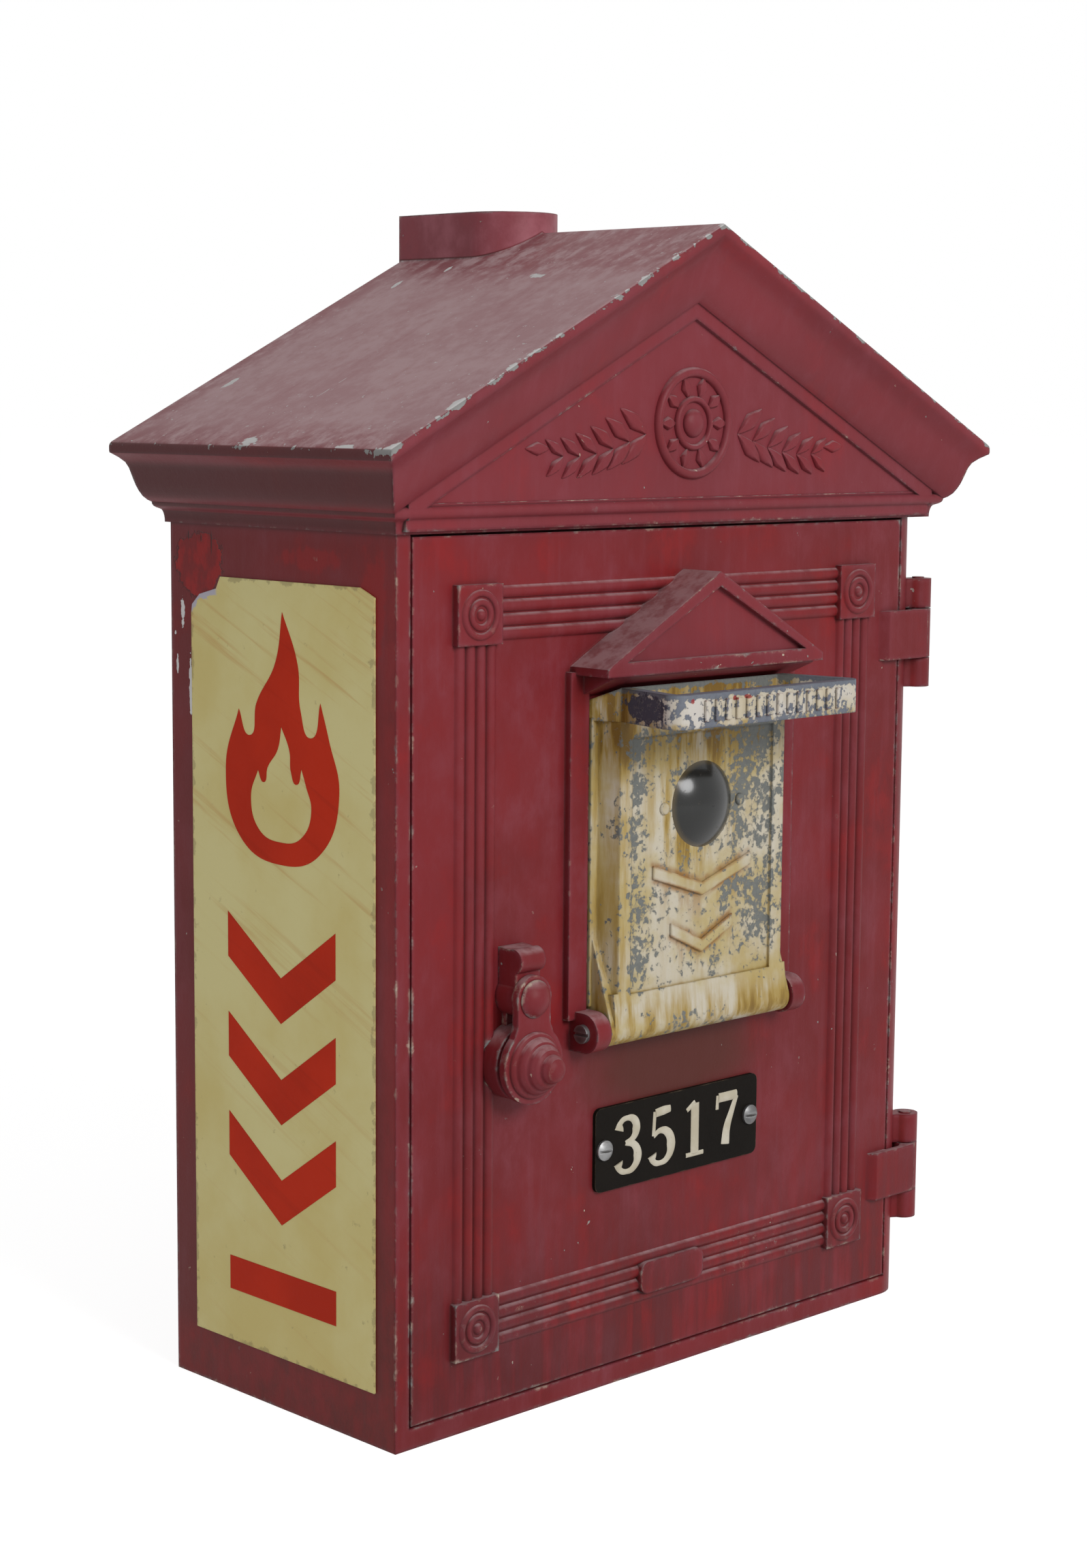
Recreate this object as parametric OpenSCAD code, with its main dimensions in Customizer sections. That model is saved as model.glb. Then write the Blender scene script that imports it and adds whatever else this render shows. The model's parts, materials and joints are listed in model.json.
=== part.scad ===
// Street fire alarm box: a gable-roofed cast case with a hinged door, a spring-closed pull door
// and a clockwork signal movement inside. Millimetres, +Z up, the door faces -Y.
// The origin is the middle of the base.

/* [Case] */
// Width across the side walls
case_w = 288; // [270:1:310]
// Depth from the door face to the back wall
case_d = 128; // [122:1:140]
// Height from the base to the underside of the cornice
case_h = 328; // [322:1:345]
// Thickness of the cast walls
wall = 7; // [5.5:0.5:8]
// Radius of the hinge-side front corner
corner_r = 15; // [13:0.5:17]
// Width of the front rim on the latch side
rim_latch = 6.5; // [5.5:0.5:8]
// Width of the front rim on the hinge side
rim_hinge = 13.5; // [13:0.5:16]
// Height of the front rim under the door
rim_low = 7.5; // [6:0.5:10]
// Depth of the front rim and of the wall above the door
rim_t = 7; // [5:0.5:9]
// Width of the ledge that the closed door stops on
stop_w = 5; // [3:0.5:7]
// Thickness of that ledge
stop_t = 4; // [3:0.5:6]

/* [Roof] */
// Height of the cornice at the eaves
cornice_h = 29.5; // [27:0.5:33]
// Overhang of the eaves at the front and sides
eave_out = 19; // [17:0.5:22]
// Overhang at the back
back_out = 12; // [10:0.5:15]
// Slope of the roof in degrees
pitch = 26.57; // [24:0.1:29]
// Height of the upright fascia strip
fascia_h = 4.7; // [3:0.1:6]
// Height of the whole raking cornice, measured upright
cornice_drop = 28.5; // [27:0.5:30]
// Projection of the foot of the cornice
cornice_foot = 6; // [5.5:0.5:7]
// Upright thickness of the roof over the inside
roof_t = 11; // [8:0.5:14]
// Projection of the gable panel from the door face
gable_out = 3.8; // [2:0.1:5]
// Height of the moulding under the gable
frieze_h = 9.5; // [9:0.5:11]

/* [Conduit hub] */
// Radius of the hub on the ridge
hub_r = 20; // [18:0.5:24]
// Radius of its tapped bore, for one inch conduit
hub_bore_r = 14.7; // [12:0.1:16]
// Height of the hub above the ridge
hub_rise = 8; // [5:0.5:12]
// Length of the bore
hub_len = 34; // [28:1:40]
// Distance of the bore from the back edge of the roof
hub_in = 42; // [40:0.5:44]

/* [Wall mounting] */
// Radius of the four bosses on the back
boss_r = 13; // [10:0.5:16]
// Radius of the bolt holes
bolt_r = 5; // [4:0.1:6]
// Distance between the bolts, side to side
bolt_span_x = 200; // [180:1:220]
// Distance between the bolts, up and down
bolt_span_z = 210; // [200:1:220]
// Height of the lower bolts
bolt_z = 70; // [60:1:80]

/* [Door] */
// Thickness of the door plate
door_t = 7; // [6:0.5:7]
// Gap between the door and its opening
door_gap = 1; // [0.6:0.1:1.5]
// Gap between the closed door and its stop
stop_gap = 0.5; // [0.3:0.1:1]
// Distance of the ornament bands from the door's sides
band_in = 29.5; // [28:0.5:30.5]
// Height of the lower ornament band
band_low = 39; // [37:0.5:42]
// Distance of the upper band below the cornice
band_top = 29; // [26:0.5:32]
// Side of the corner blocks
block_w = 21.5; // [21:0.5:23]
// Thickness of the corner blocks
block_t = 3; // [2.5:0.5:4]
// Number of reeds in a band
reed_n = 4; // [3:1:4]
// Distance between reeds
reed_pitch = 5; // [4.9:0.1:5.2]
// Radius of a reed
reed_r = 2.4; // [2:0.1:2.4]
// Height of a reed above the door
reed_rise = 1.6; // [1:0.1:1.9]

/* [Door hinge] */
// Radius of the knuckles
knuckle_r = 5.5; // [5:0.1:6]
// Radius of the hinge pins
hinge_pin_r = 2.5; // [2:0.1:3]
// Distance of the pin outside the case side
hinge_out = 2.5; // [2:0.1:4]
// Distance of the pin behind the door face
hinge_in = 3.5; // [2.5:0.1:3.7]
// Height of the knuckle on the door
door_knuckle_h = 20; // [16:1:24]
// Height of each knuckle on the case
case_knuckle_h = 12; // [9:1:14]
// Height of the lower hinge
hinge_low = 53; // [48:1:60]
// Distance of the upper hinge below the cornice
hinge_top = 48; // [44:1:60]
// Thickness of the hinge straps
strap_t = 3.2; // [3:0.1:4]
// Reach of the straps over the door
strap_reach = 26; // [24:0.5:28]

/* [Pull door] */
// Width of its front face
pull_w = 91; // [88:1:95]
// Width of its back flange
pull_flange_w = 103; // [102:0.5:106]
// Height of the pull door's pivot
pivot_z = 142; // [138:1:146]
// Distance of the pivot in front of the door face
pivot_out = 7.5; // [7.3:0.1:8.5]
// Radius of the rolled lower edge
roll_r = 6.4; // [5.8:0.1:6.8]
// Length of the rolled edge
roll_w = 100; // [97:0.5:101]
// Distance of the front face in front of the door face
pull_out = 12.6; // [12:0.1:14]
// Height of the pull door above its pivot, at the front
pull_h = 128; // [124:1:130]
// Wall of the pull door
pull_wall = 3; // [2.5:0.1:3.2]
// Depth of the sunk front panel
panel_sink = 1.2; // [0.6:0.1:1.4]
// Width of the rim round the sunk panel
panel_rim = 6.5; // [5:0.5:8]
// Radius of the pull door's pivot screw
pivot_r = 2.5; // [2:0.1:2.7]

/* [Handle] */
// Width of the bar across its front
handle_w = 105; // [100:1:108]
// Distance of the bar's front from the door face
handle_out = 46.5; // [42:0.5:50]
// Height of the bar
handle_h = 12.5; // [10:0.5:13]
// Thickness of the bar
handle_t = 5; // [4:0.5:6]

/* [Hood] */
// Width across the eaves of the hood
hood_w = 119; // [117:1:121]
// Distance of its front from the door face
hood_out = 19.5; // [17:0.5:22]
// Height of the hood's triangle
hood_rise = 36.5; // [32:0.5:39]
// Height of its upright edge
hood_edge = 3; // [2:0.5:4]
// Drop of the sloping underside from front to back
hood_slope = 8.5; // [8:0.1:9]
// Gap between the hood and the pull door
hood_gap = 1.8; // [1.6:0.1:2.4]

/* [Lens] */
// Radius of the lens dome
lens_r = 16.5; // [14:0.5:18]
// Height of the dome
lens_rise = 6; // [4:0.5:8]
// Radius of the lens neck behind the panel
neck_r = 13.5; // [11:0.5:13.5]
// Height of the lens above the pivot
lens_up = 81; // [78:1:84]

/* [Lock] */
// Distance of the keyhole from the latch side of the case
lock_in = 55; // [54:0.5:57]
// Height of the keyhole
lock_z = 136; // [133:0.5:138]
// Height of the cover's pivot above the keyhole
cover_up = 24.4; // [24:0.2:27]
// Radius of the keyhole cover's disc
cover_r = 14.5; // [13:0.5:15]
// Thickness of the cover
cover_t = 3; // [2:0.5:4]
// Height of the lock boss in front of the door
lock_boss_h = 8; // [7.5:0.5:9]
// Radius of the key plug
plug_r = 6; // [5:0.5:6]
// Throw of the bolt
bolt_throw = 12; // [10:0.5:12.5]
// Height of the lock case over the door's back
lock_deep = 16; // [16:0.5:18]

/* [Number plate] */
// Width of the plate
plate_w = 91; // [86:1:96]
// Height of the plate
plate_h = 32.5; // [28:0.5:36]
// Thickness of the plate
plate_t = 1.6; // [1:0.1:2.5]
// Height of the middle of the plate
plate_z = 93.5; // [90:0.5:98]
// Distance of its screws from its ends
plate_screw_in = 4.5; // [4:0.1:7]

/* [Side sign] */
// Width of the sign
sign_w = 104; // [90:1:106]
// Distance of its upper edge below the cornice
sign_top = 19; // [17:0.5:30]
// Thickness of the sign
sign_t = 0.8; // [0.5:0.1:1.5]
// Height of its lower edge
sign_z = 20; // [10:1:28]
// Distance of its front edge behind the door face
sign_in = 10.7; // [8:0.1:12]
// Length of the clip off its upper front corner
sign_clip = 8; // [4:0.5:10]

/* [Movement] */
// Width of the movement plates
frame_w = 140; // [138:1:148]
// Thickness of the plates
frame_t = 4; // [3:0.5:5]
// Distance between the plates
pillar_len = 30; // [29:0.5:34]
// Distance of the front plate behind the door
movement_in = 31; // [30:0.5:34]
// Radius of pillars and posts
post_r = 6; // [5:0.5:7]
// Tooth module of the first wheels
tooth_1 = 1; // [0.98:0.01:1.03]
// Tooth module of the governor wheels
tooth_2 = 0.8; // [0.78:0.01:0.83]
// Thickness of the wheels
wheel_t = 4; // [3:0.5:4.5]
// Radius of the code wheel
code_r = 26; // [24:0.5:26.5]
// Length of the pull lever's arm
lever_len = 48; // [44:1:50]
// Angle of the lever at rest above level, in degrees
lever_rest = 35; // [30:1:36]
// Radius of the gong
gong_r = 22; // [19:0.5:22.5]

/* [Hidden] */
$fn = 64;
// Radial clearance of a turning fit
run_fit = 0.05;
// Clearance of a fixed seat
seat = 0.03;
// Overlap that joins cast features, and the margin of a cut
bite = 1;
// Small overlap that joins a shank to its head
join = 0.01;
// Room left at the bottom of a blind hole
end_gap = 0.3;

half_w = case_w / 2;
front = -case_d / 2;
back = case_d / 2;
inside_x = half_w - wall;
inside_back = back - wall;
eave_half = half_w + eave_out;
ridge_z = case_h + cornice_h + eave_half * tan(pitch);
roof_back = back + back_out;

open_x0 = -half_w + rim_latch;
open_x1 = half_w - rim_hinge;
door_x0 = open_x0 + door_gap;
door_x1 = open_x1 - door_gap;
door_z0 = rim_low + door_gap;
door_z1 = case_h - door_gap;
door_back = front + door_t;
band_mid = (door_x0 + door_x1) / 2;
band_x = (door_x1 - door_x0) / 2 - band_in;
band_hi = case_h - band_top;

hinge_x = half_w + hinge_out;
hinge_y = front + hinge_in;
hinge_zs = [hinge_low, case_h - hinge_top];
knuckle_gap = 0.4;
case_pin_r = hinge_pin_r + seat;
door_pin_r = hinge_pin_r + run_fit;

// Pull door: heights follow from the pivot, and the hand opening lies inside its hollow
pull_top = pivot_z + pull_h;
pull_low = pivot_z + 8;
pull_fall = 5.4;
pull_back = 0.4;
pan_back = pull_back + 0.2;
flange_t = 2.6;
flange_half = pull_flange_w / 2 - 0.3;
tub_w = pull_flange_w - 7;
hand_w = pull_w - 11;
hand_z0 = pivot_z + 16;
hand_z1 = pull_top - 14;
handle_z0 = pull_top - handle_h;
handle_root_w = pull_w - 0.6;
frame_gap = 1;
frame_in = pull_flange_w / 2 + frame_gap;
frame_bar = 9.5;
frame_rise = 3;
ear_gap = 1;
ear_in = roll_w / 2 + ear_gap;
ear_t = 7.4;
ear_r = roll_r + 1.1;
ear_out = ear_in + ear_t;
spring_room = roll_r - 1.2;
spring_half = 20;

// Hood: the underside slopes from the back up to the front
hood_back_z = pull_top - pull_fall + hood_gap;
hood_z0 = hood_back_z + hood_slope;
hood_panel = 2.5;
hood_rim = 5;

// Lock
lock_x = -half_w + lock_in;
cover_z = lock_z + cover_up;
cover_gap = 0.5;
cover_back = lock_boss_h + cover_gap + 1.5;
cover_front = cover_back + cover_t;
arm_r = 8.5;
boss_r_lock = cover_r - 0.5;
pivot_boss_r = arm_r - 1;
plug_fit = 0.3;
lock_y0 = door_back;
lock_y1 = lock_y0 + lock_deep;
lock_half = 24;
lock_wall = 2;
crank_r = bolt_throw / sqrt(2);
crank_pin_r = 2;
crank_disc_r = crank_r + crank_pin_r + 1;
crank_y = lock_y0 + 4.4;
crank_t = 2;
bolt_y0 = crank_y + crank_t + 0.4;
bolt_t = 5;
bolt_h = 15;
bolt_tip = lock_x - lock_half + 0.5;
keeper_gap = 4;
keeper_x1 = lock_x - lock_half - keeper_gap;
keeper_wall = 4;

// Movement levels along Y, from the door backward
plate_y = door_back + movement_in;
plate_back_y = plate_y + frame_t;
back_plate_y = plate_back_y + pillar_len;
post_len = inside_back - back_plate_y - frame_t;
layer_1 = plate_back_y + 2;
layer_2 = layer_1 + wheel_t + 2.5;
barrel_y = layer_2 + wheel_t + 0.6;
barrel_len = back_plate_y - 2 - barrel_y;
code_y = plate_y - 6;
code_t = 3;
lever_t = 4;
lever_y = code_y - 4 - lever_t;

// Movement places across the front, from the hand opening
lever_x = -frame_w / 4;
lever_up = 54;
frame_below = 94;
frame_above = 60;
lever_z = hand_z0 + lever_up;
frame_z0 = lever_z - frame_below;
frame_z1 = lever_z + frame_above;
pillar_x = frame_w / 2 - 8;
pillar_z = [frame_z0 + 8, frame_z1 - 8];
sector_teeth = 36;
winder_teeth = 18;
main_teeth = 60;
second_pinion_teeth = 15;
second_teeth = 48;
fan_pinion_teeth = 12;
main_x = lever_x;
main_z = lever_z - tooth_1 * (sector_teeth + winder_teeth) / 2;
second_x = main_x + tooth_1 * (main_teeth + second_pinion_teeth) / 2;
second_z = main_z;
fan_x = second_x + tooth_2 * (second_teeth + fan_pinion_teeth) / 2;
fan_z = second_z;
arbor_r = 4;
second_arbor_r = 2.5;
fan_arbor_r = 2;
barrel_r = 25;
barrel_wall = 1.5;
arbor_end = back_plate_y + frame_t + 1.5;
bush_r = 8;
bush_gap = 0.4;
grip_r = 5.5;
grip_front = front - 3;
tail_len = 16;
tail_x = lever_x - tail_len * cos(lever_rest);
tail_z = lever_z - tail_len * sin(lever_rest);
pad_r = 7;
waist = 8;
tail_half = 3.5;
spring_lug_z = lever_z + 36;
lug_t = 3.5;
spring_lug_half = 7;
spring_lug_over = 2;

// Electric parts on the front plate
magnet_y = plate_y - 10.2;
coil_r = 9;
magnet_x = [lever_x + 3 * coil_r, lever_x + 3 * coil_r + 22];
core_r = 3.5;
yoke_z = frame_z0 + 4;
yoke_h = 4;
coil_len = 18;
pole_z = yoke_z + yoke_h + coil_len + 2;
armature_z = pole_z + 6.5;
armature_t = 3;
hammer_pivot_x = magnet_x[0] - 16;
hammer_x = magnet_x[1] + 7;
hammer_z = armature_z + 10.5;
gong_x = pillar_x - 15;
gong_z = frame_z0 + 32;
gong_y = plate_y - 8;
gong_deep = 12;
gong_t = 1.8;
gong_top = gong_y - gong_deep;
foot_r = 3;
contact_z = second_z + 20;
leaf_t = 0.6;
leaf_gap = 4;
contact_x = second_x + 40;
key_x = 13 - pillar_x;
key_z = frame_z0 + 21;
terminal_z = case_h - 29;
terminal_w = 110;
terminal_h = 22;
terminal_t = 12;
terminal_stud_x = terminal_w / 2 - 6;
terminal_stud_r = 2;
terminal_stud = 4;
post_count = 5;

red = "firebrick";
cream = "wheat";
brass = "goldenrod";
steel = "lightslategray";
dark = "darkslategray";

// Distance in front of the door face as a Y place
function out(d) = front - d;
function roof_z(x) = ridge_z - abs(x) * tan(pitch);

// An outline in X and Z, drawn out from y0 to y1
module slab_y(y0, y1) translate([0, y1, 0]) rotate([90, 0, 0]) linear_extrude(y1 - y0) children();
// An outline in Y and Z, drawn out from x0 to x1
module slab_x(x0, x1) translate([x0, 0, 0]) rotate([90, 0, 90]) linear_extrude(x1 - x0) children();
// A round bar along Y, X or Z
module rod_y(x, z, y0, y1, r) translate([x, y0, z]) rotate([-90, 0, 0]) cylinder(h = y1 - y0, r = r);
module rod_x(y, z, x0, x1, r) translate([x0, y, z]) rotate([0, 90, 0]) cylinder(h = x1 - x0, r = r);
module rod_z(x, y, z0, z1, r) translate([x, y, z0]) cylinder(h = z1 - z0, r = r);
// A box between two corners
module box(a, b) translate(a) cube([b[0] - a[0], b[1] - a[1], b[2] - a[2]]);
// A turned shape standing on the plane y, its axis pointing forward; the outline is radius and height
module turned_y(x, y, z) translate([x, y, z]) rotate([90, 0, 0]) rotate_extrude() children();
// A rectangle with round corners about its middle
module round_rect(w, h, r) {
  square([w - 2 * r, h], center = true);
  square([w, h - 2 * r], center = true);
  for (sx = [-1, 1], sz = [-1, 1]) translate([sx * (w / 2 - r), sz * (h / 2 - r)]) circle(r);
}

// Involute teeth
pressure = 25;
backlash = 0.12;
function involute(a) = tan(a) * 180 / PI - a;
function flank_angle(r, base) = r > base ? involute(acos(base / r)) : 0;
function half_tooth(n, m, r) = 90 / n - backlash / (n * m / 2) * 180 / PI + involute(pressure)
  - flank_angle(r, n * m / 2 * cos(pressure));
function flank(n, m) = let (p = n * m / 2) [p - 1.1 * m, p - 0.45 * m, p, p + 0.4 * m, p + 0.8 * m];
function polar(r, a) = [r * cos(a), r * sin(a)];
function gear_outline(n, m) = [for (k = [0 : n - 1]) each let (f = flank(n, m), a = 360 * k / n)
  concat([for (r = f) polar(r, a - half_tooth(n, m, r))],
    [for (i = [len(f) - 1 : -1 : 0]) polar(f[i], a + half_tooth(n, m, f[i]))])];
// A toothed wheel about Y; turn sets where a tooth points
module gear(n, m, x, z, y0, y1, turn, bore) difference() {
  translate([x, 0, z]) slab_y(y0, y1) rotate(turn) polygon(gear_outline(n, m));
  rod_y(x, z, y0 - bite, y1 + bite, bore);
}

// Wound springs: one tube along a helix about +Z
curl_rings = 8;
wire_sides = 6;
function helix(r, rise, curls) = [for (i = [0 : curls * curl_rings])
  [r * cos(360 * i / curl_rings), r * sin(360 * i / curl_rings), rise * i / curl_rings]];
function wire_ring(c, i, w) = let (a = 360 * i / curl_rings) [for (k = [0 : wire_sides - 1])
  let (s = 360 * k / wire_sides) c + w * [cos(s) * cos(a), cos(s) * sin(a), sin(s)]];
function least_gap(path, w) = min([for (i = [0 : len(path) - 1], j = [i + curl_rings / 2 : len(path)])
  if (j < len(path)) norm(path[i] - path[j])]) - 2 * w;
module coil(r, w, rise, curls) {
  path = helix(r, rise, curls);
  last = len(path) - 1;
  points = [for (i = [0 : last]) each wire_ring(path[i], i, w)];
  walls = [for (i = [0 : last - 1], k = [0 : wire_sides - 1]) each let (n = (k + 1) % wire_sides,
    a = i * wire_sides + k, b = i * wire_sides + n, c = a + wire_sides, d = b + wire_sides)
    [[a, b, c], [b, d, c]]];
  ends = [for (k = [1 : wire_sides - 2]) each let (z = last * wire_sides)
    [[0, k + 1, k], [z, z + k, z + k + 1]]];
  echo("least gap between curls", least_gap(path, w));
  polyhedron(points, concat(walls, ends));
}

// A screw standing on the plane y with its slotted head forward
module screw_y(x, z, y, head_r, head_h, shank_r, depth, slot = 1) {
  difference() {
    turned_y(x, y, z) intersection() {
      translate([0, head_h - head_r * 1.6]) circle(head_r * 1.6);
      square([head_r, head_h]);
    }
    box([x - head_r - bite, y - head_h - bite, z - slot / 2],
      [x + head_r + bite, y - head_h * 0.55, z + slot / 2]);
  }
  rod_y(x, z, y - join, y + depth, shank_r);
}
module at_corners(xs, zs) for (x = xs, z = zs) translate([x, 0, z]) children();

// Cornice: a round-nosed fascia, then an ogee whose points are shares of its projection and drop
nose_r = 1.4;
ogee = [[0.81, 0.105], [0.65, 0.22], [0.56, 0.33], [0.505, 0.435], [0.45, 0.54], [0.39, 0.645],
  [0.315, 0.75], [0.22, 0.855], [0.1, 0.945], [0, 1]];
ogee_out = eave_out - nose_r / 2 - cornice_foot;
ogee_drop = cornice_drop - fascia_h;
cornice_rings = concat([for (a = [0 : 30 : 90]) [eave_out - nose_r * (1 - sin(a)), nose_r * (1 - cos(a))]],
  [for (a = [0 : 30 : 60]) [eave_out - nose_r * (1 - cos(a)), fascia_h - nose_r * (1 - sin(a))]],
  [for (o = ogee) [cornice_foot + ogee_out * o[0], fascia_h + ogee_drop * o[1]]]);
function back_at(s) = back + s * back_out / eave_out;
function gable_ring(s, v) = let (x = half_w + s, e = roof_z(half_w + s) - v, r = ridge_z - v)
  [[-x, front - s, e], [0, front - s, r], [x, front - s, e],
    [x, back_at(s), e], [0, back_at(s), r], [-x, back_at(s), e]];
function ring_walls(count, n) = [for (i = [0 : count - 2], k = [0 : n - 1])
  let (a = i * n + k, b = i * n + (k + 1) % n) [a, b, b + n, a + n]];
module roof_slab() {
  count = len(cornice_rings);
  z = (count - 1) * 6;
  polyhedron([for (c = cornice_rings) each gable_ring(c[0], c[1])], concat(ring_walls(count, 6),
    [[5, 4, 1, 0], [4, 3, 2, 1], [z, z + 1, z + 4, z + 5], [z + 1, z + 2, z + 3, z + 4]]));
}

// Moulding under the gable: a bead over a hollow that runs out on a thin fillet
bead_r = 2.1;
bead_out = 3.8;
hollow_out = 3.3;
fillet_out = 1.8;
hollow_z = frieze_h - 2 * bead_r - 0.4;
frieze_rings = concat([[bead_out + 0.4, frieze_h + bite]],
  [for (a = [90 : -22.5 : -67.5]) [bead_out + bead_r * cos(a), frieze_h - bead_r * (1 - sin(a))]],
  [for (a = [0 : 15 : 90]) [fillet_out + (hollow_out - fillet_out) * (1 - sin(a)), hollow_z * cos(a)]]);
function square_ring(s, z) = let (x = half_w + s)
  [[-x, front - s, z], [x, front - s, z], [x, back_at(s), z], [-x, back_at(s), z]];
module frieze() {
  count = len(frieze_rings);
  z = (count - 1) * 4;
  polyhedron([for (c = frieze_rings) each square_ring(c[0], case_h + c[1])],
    concat(ring_walls(count, 4), [[3, 2, 1, 0], [z, z + 1, z + 2, z + 3]]));
}

function gable(half, low, drop) = [[-half, low], [half, low], [half, roof_z(half) - drop],
  [0, ridge_z - drop], [-half, roof_z(half) - drop]];
module case_outline() {
  difference() {
    translate([-half_w, front]) square([case_w, case_d]);
    translate([half_w - corner_r, front - bite]) square(corner_r + bite);
  }
  translate([half_w - corner_r, front + corner_r]) circle(corner_r);
}
// A flat strip runs under the raking cornice
rake_rise = 1.5;
rake_h = 6;
module case_walls() {
  intersection() {
    linear_extrude(ridge_z) case_outline();
    slab_y(front - bite, back + bite) polygon(gable(half_w + bite, -bite, fascia_h));
  }
  slab_y(out(gable_out), front + bite) polygon(gable(half_w - bite, case_h + bite, fascia_h));
  slab_y(out(gable_out + rake_rise), front) difference() {
    polygon(gable(half_w - bite, case_h + bite, fascia_h));
    polygon(gable(half_w, case_h, cornice_drop + rake_h));
  }
}
module hub_body() linear_extrude(hub_len) {
  circle(hub_r);
  translate([-hub_r, 0]) square([2 * hub_r, hub_in]);
}
// The hinge lug runs from the pin towards the middle of the round corner
module case_knuckle(z) {
  rod_z(hinge_x, hinge_y, z, z + case_knuckle_h, knuckle_r);
  dx = half_w - corner_r - hinge_x;
  dy = front + corner_r - hinge_y;
  translate([hinge_x, hinge_y, z]) rotate(atan2(dy, dx)) translate([0, -knuckle_r * 0.75])
    cube([knuckle_r + 9, knuckle_r * 1.5, case_knuckle_h]);
}
function knuckle_zs(z) = [z - door_knuckle_h / 2 - knuckle_gap - case_knuckle_h,
  z + door_knuckle_h / 2 + knuckle_gap];
module case_cavity() {
  slab_y(front + rim_t, inside_back) polygon(gable(inside_x, wall, roof_t));
  box([open_x0, front - bite, rim_low], [open_x1, front + rim_t + bite, case_h]);
}
module door_stop() {
  y0 = door_back + stop_gap;
  difference() {
    box([-inside_x - bite, y0, wall - bite], [open_x1, y0 + stop_t, case_h + stop_w]);
    box([open_x0 + stop_w, y0 - bite, rim_low + stop_w],
      [open_x1 + bite, y0 + stop_t + bite, case_h - stop_w]);
  }
}
post_stud_r = 3;
post_stud = 4;
keeper_screw_r = 2;
keeper_screw = 4;
module case() color(red) difference() {
  union() {
    difference() {
      union() {
        case_walls();
        roof_slab();
        frieze();
        translate([0, roof_back - hub_in, ridge_z + hub_rise - hub_len]) hub_body();
        at_corners([-bolt_span_x / 2, bolt_span_x / 2], [bolt_z, bolt_z + bolt_span_z])
          rod_y(0, 0, back - bite, roof_back, boss_r);
        for (h = hinge_zs, z = knuckle_zs(h)) case_knuckle(z);
      }
      case_cavity();
    }
    door_stop();
    translate([0, roof_back - hub_in, ridge_z + hub_rise - hub_len]) intersection() {
      hub_body();
      translate([-hub_r, -hub_r, 0]) cube([2 * hub_r, hub_r + hub_in - back_out - bite, hub_len]);
    }
  }
  rod_z(0, roof_back - hub_in, ridge_z + hub_rise - hub_len - bite, ridge_z + hub_rise + bite, hub_bore_r);
  at_corners([-bolt_span_x / 2, bolt_span_x / 2], [bolt_z, bolt_z + bolt_span_z])
    rod_y(0, 0, inside_back - bite, roof_back + bite, bolt_r);
  for (h = hinge_zs, z = knuckle_zs(h))
    rod_z(hinge_x, hinge_y, z - bite, z + case_knuckle_h + bite, case_pin_r);
  at_corners([-pillar_x, pillar_x], pillar_z)
    rod_y(0, 0, inside_back - bite, inside_back + post_stud, post_stud_r + seat);
  at_corners([-terminal_stud_x, terminal_stud_x], [terminal_z])
    rod_y(0, 0, inside_back - bite, inside_back + terminal_stud, terminal_stud_r + seat);
  for (z = keeper_zs) rod_x(keeper_y, z, -inside_x - keeper_screw, -inside_x + bite, keeper_screw_r + seat);
}

pin_proud = 0.6;
module door_hinge_pins() color(steel) for (h = hinge_zs) {
  low = h - door_knuckle_h / 2 - knuckle_gap - case_knuckle_h;
  high = h + door_knuckle_h / 2 + knuckle_gap + case_knuckle_h;
  rod_z(hinge_x, hinge_y, low, high + pin_proud, hinge_pin_r);
}

// Door ornament
module reeds_z(x, z0, z1) for (i = [0 : reed_n - 1])
  rod_z(x + (i - (reed_n - 1) / 2) * reed_pitch, out(reed_rise - reed_r), z0, z1, reed_r);
module reeds_x(z, x0, x1) for (i = [0 : reed_n - 1])
  rod_x(out(reed_rise - reed_r), z + (i - (reed_n - 1) / 2) * reed_pitch, x0, x1, reed_r);
block_rings = [0.72, 0.42];
block_ring_r = 1.3;
block_boss_r = 2.2;
block_ring_sink = 0.2;
block_boss_sink = 0.7;
module corner_block(x, z) {
  w = block_w / 2;
  box([x - w, out(block_t), z - w], [x + w, front + bite, z + w]);
  turned_y(x, out(block_t) + bite, z) {
    for (share = block_rings) translate([w * share, bite - block_ring_sink]) circle(block_ring_r);
    intersection() {
      translate([0, bite - block_boss_sink]) circle(block_boss_r);
      square([block_boss_r, bite + block_boss_r]);
    }
  }
}
cartouche_w = 35;
cartouche_h = 12.5;
cartouche_r = 4;
module cartouche() slab_y(out(block_t), front + bite) translate([band_mid, band_low])
  round_rect(cartouche_w, cartouche_h, cartouche_r);
module hood() {
  w = hood_w / 2;
  difference() {
    slab_y(out(hood_out), front + bite)
      polygon([[-w, hood_z0], [w, hood_z0], [w, hood_z0 + hood_edge], [0, hood_z0 + hood_rise],
        [-w, hood_z0 + hood_edge]]);
    slab_y(out(hood_out + bite), out(hood_out - hood_panel))
      polygon([[-w + hood_rim * 2, hood_z0 + hood_rim], [w - hood_rim * 2, hood_z0 + hood_rim],
        [0, hood_z0 + hood_rise - hood_rim * 1.1]]);
  }
  lip = 1.5;
  slab_x(-w + 4, w - 4) polygon([[front + bite, hood_back_z - bite * hood_slope / hood_out],
    [front + bite, hood_z0 + bite], [out(hood_out - lip), hood_z0 + bite],
    [out(hood_out - lip), hood_z0 - hood_slope * lip / hood_out]]);
}
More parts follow.
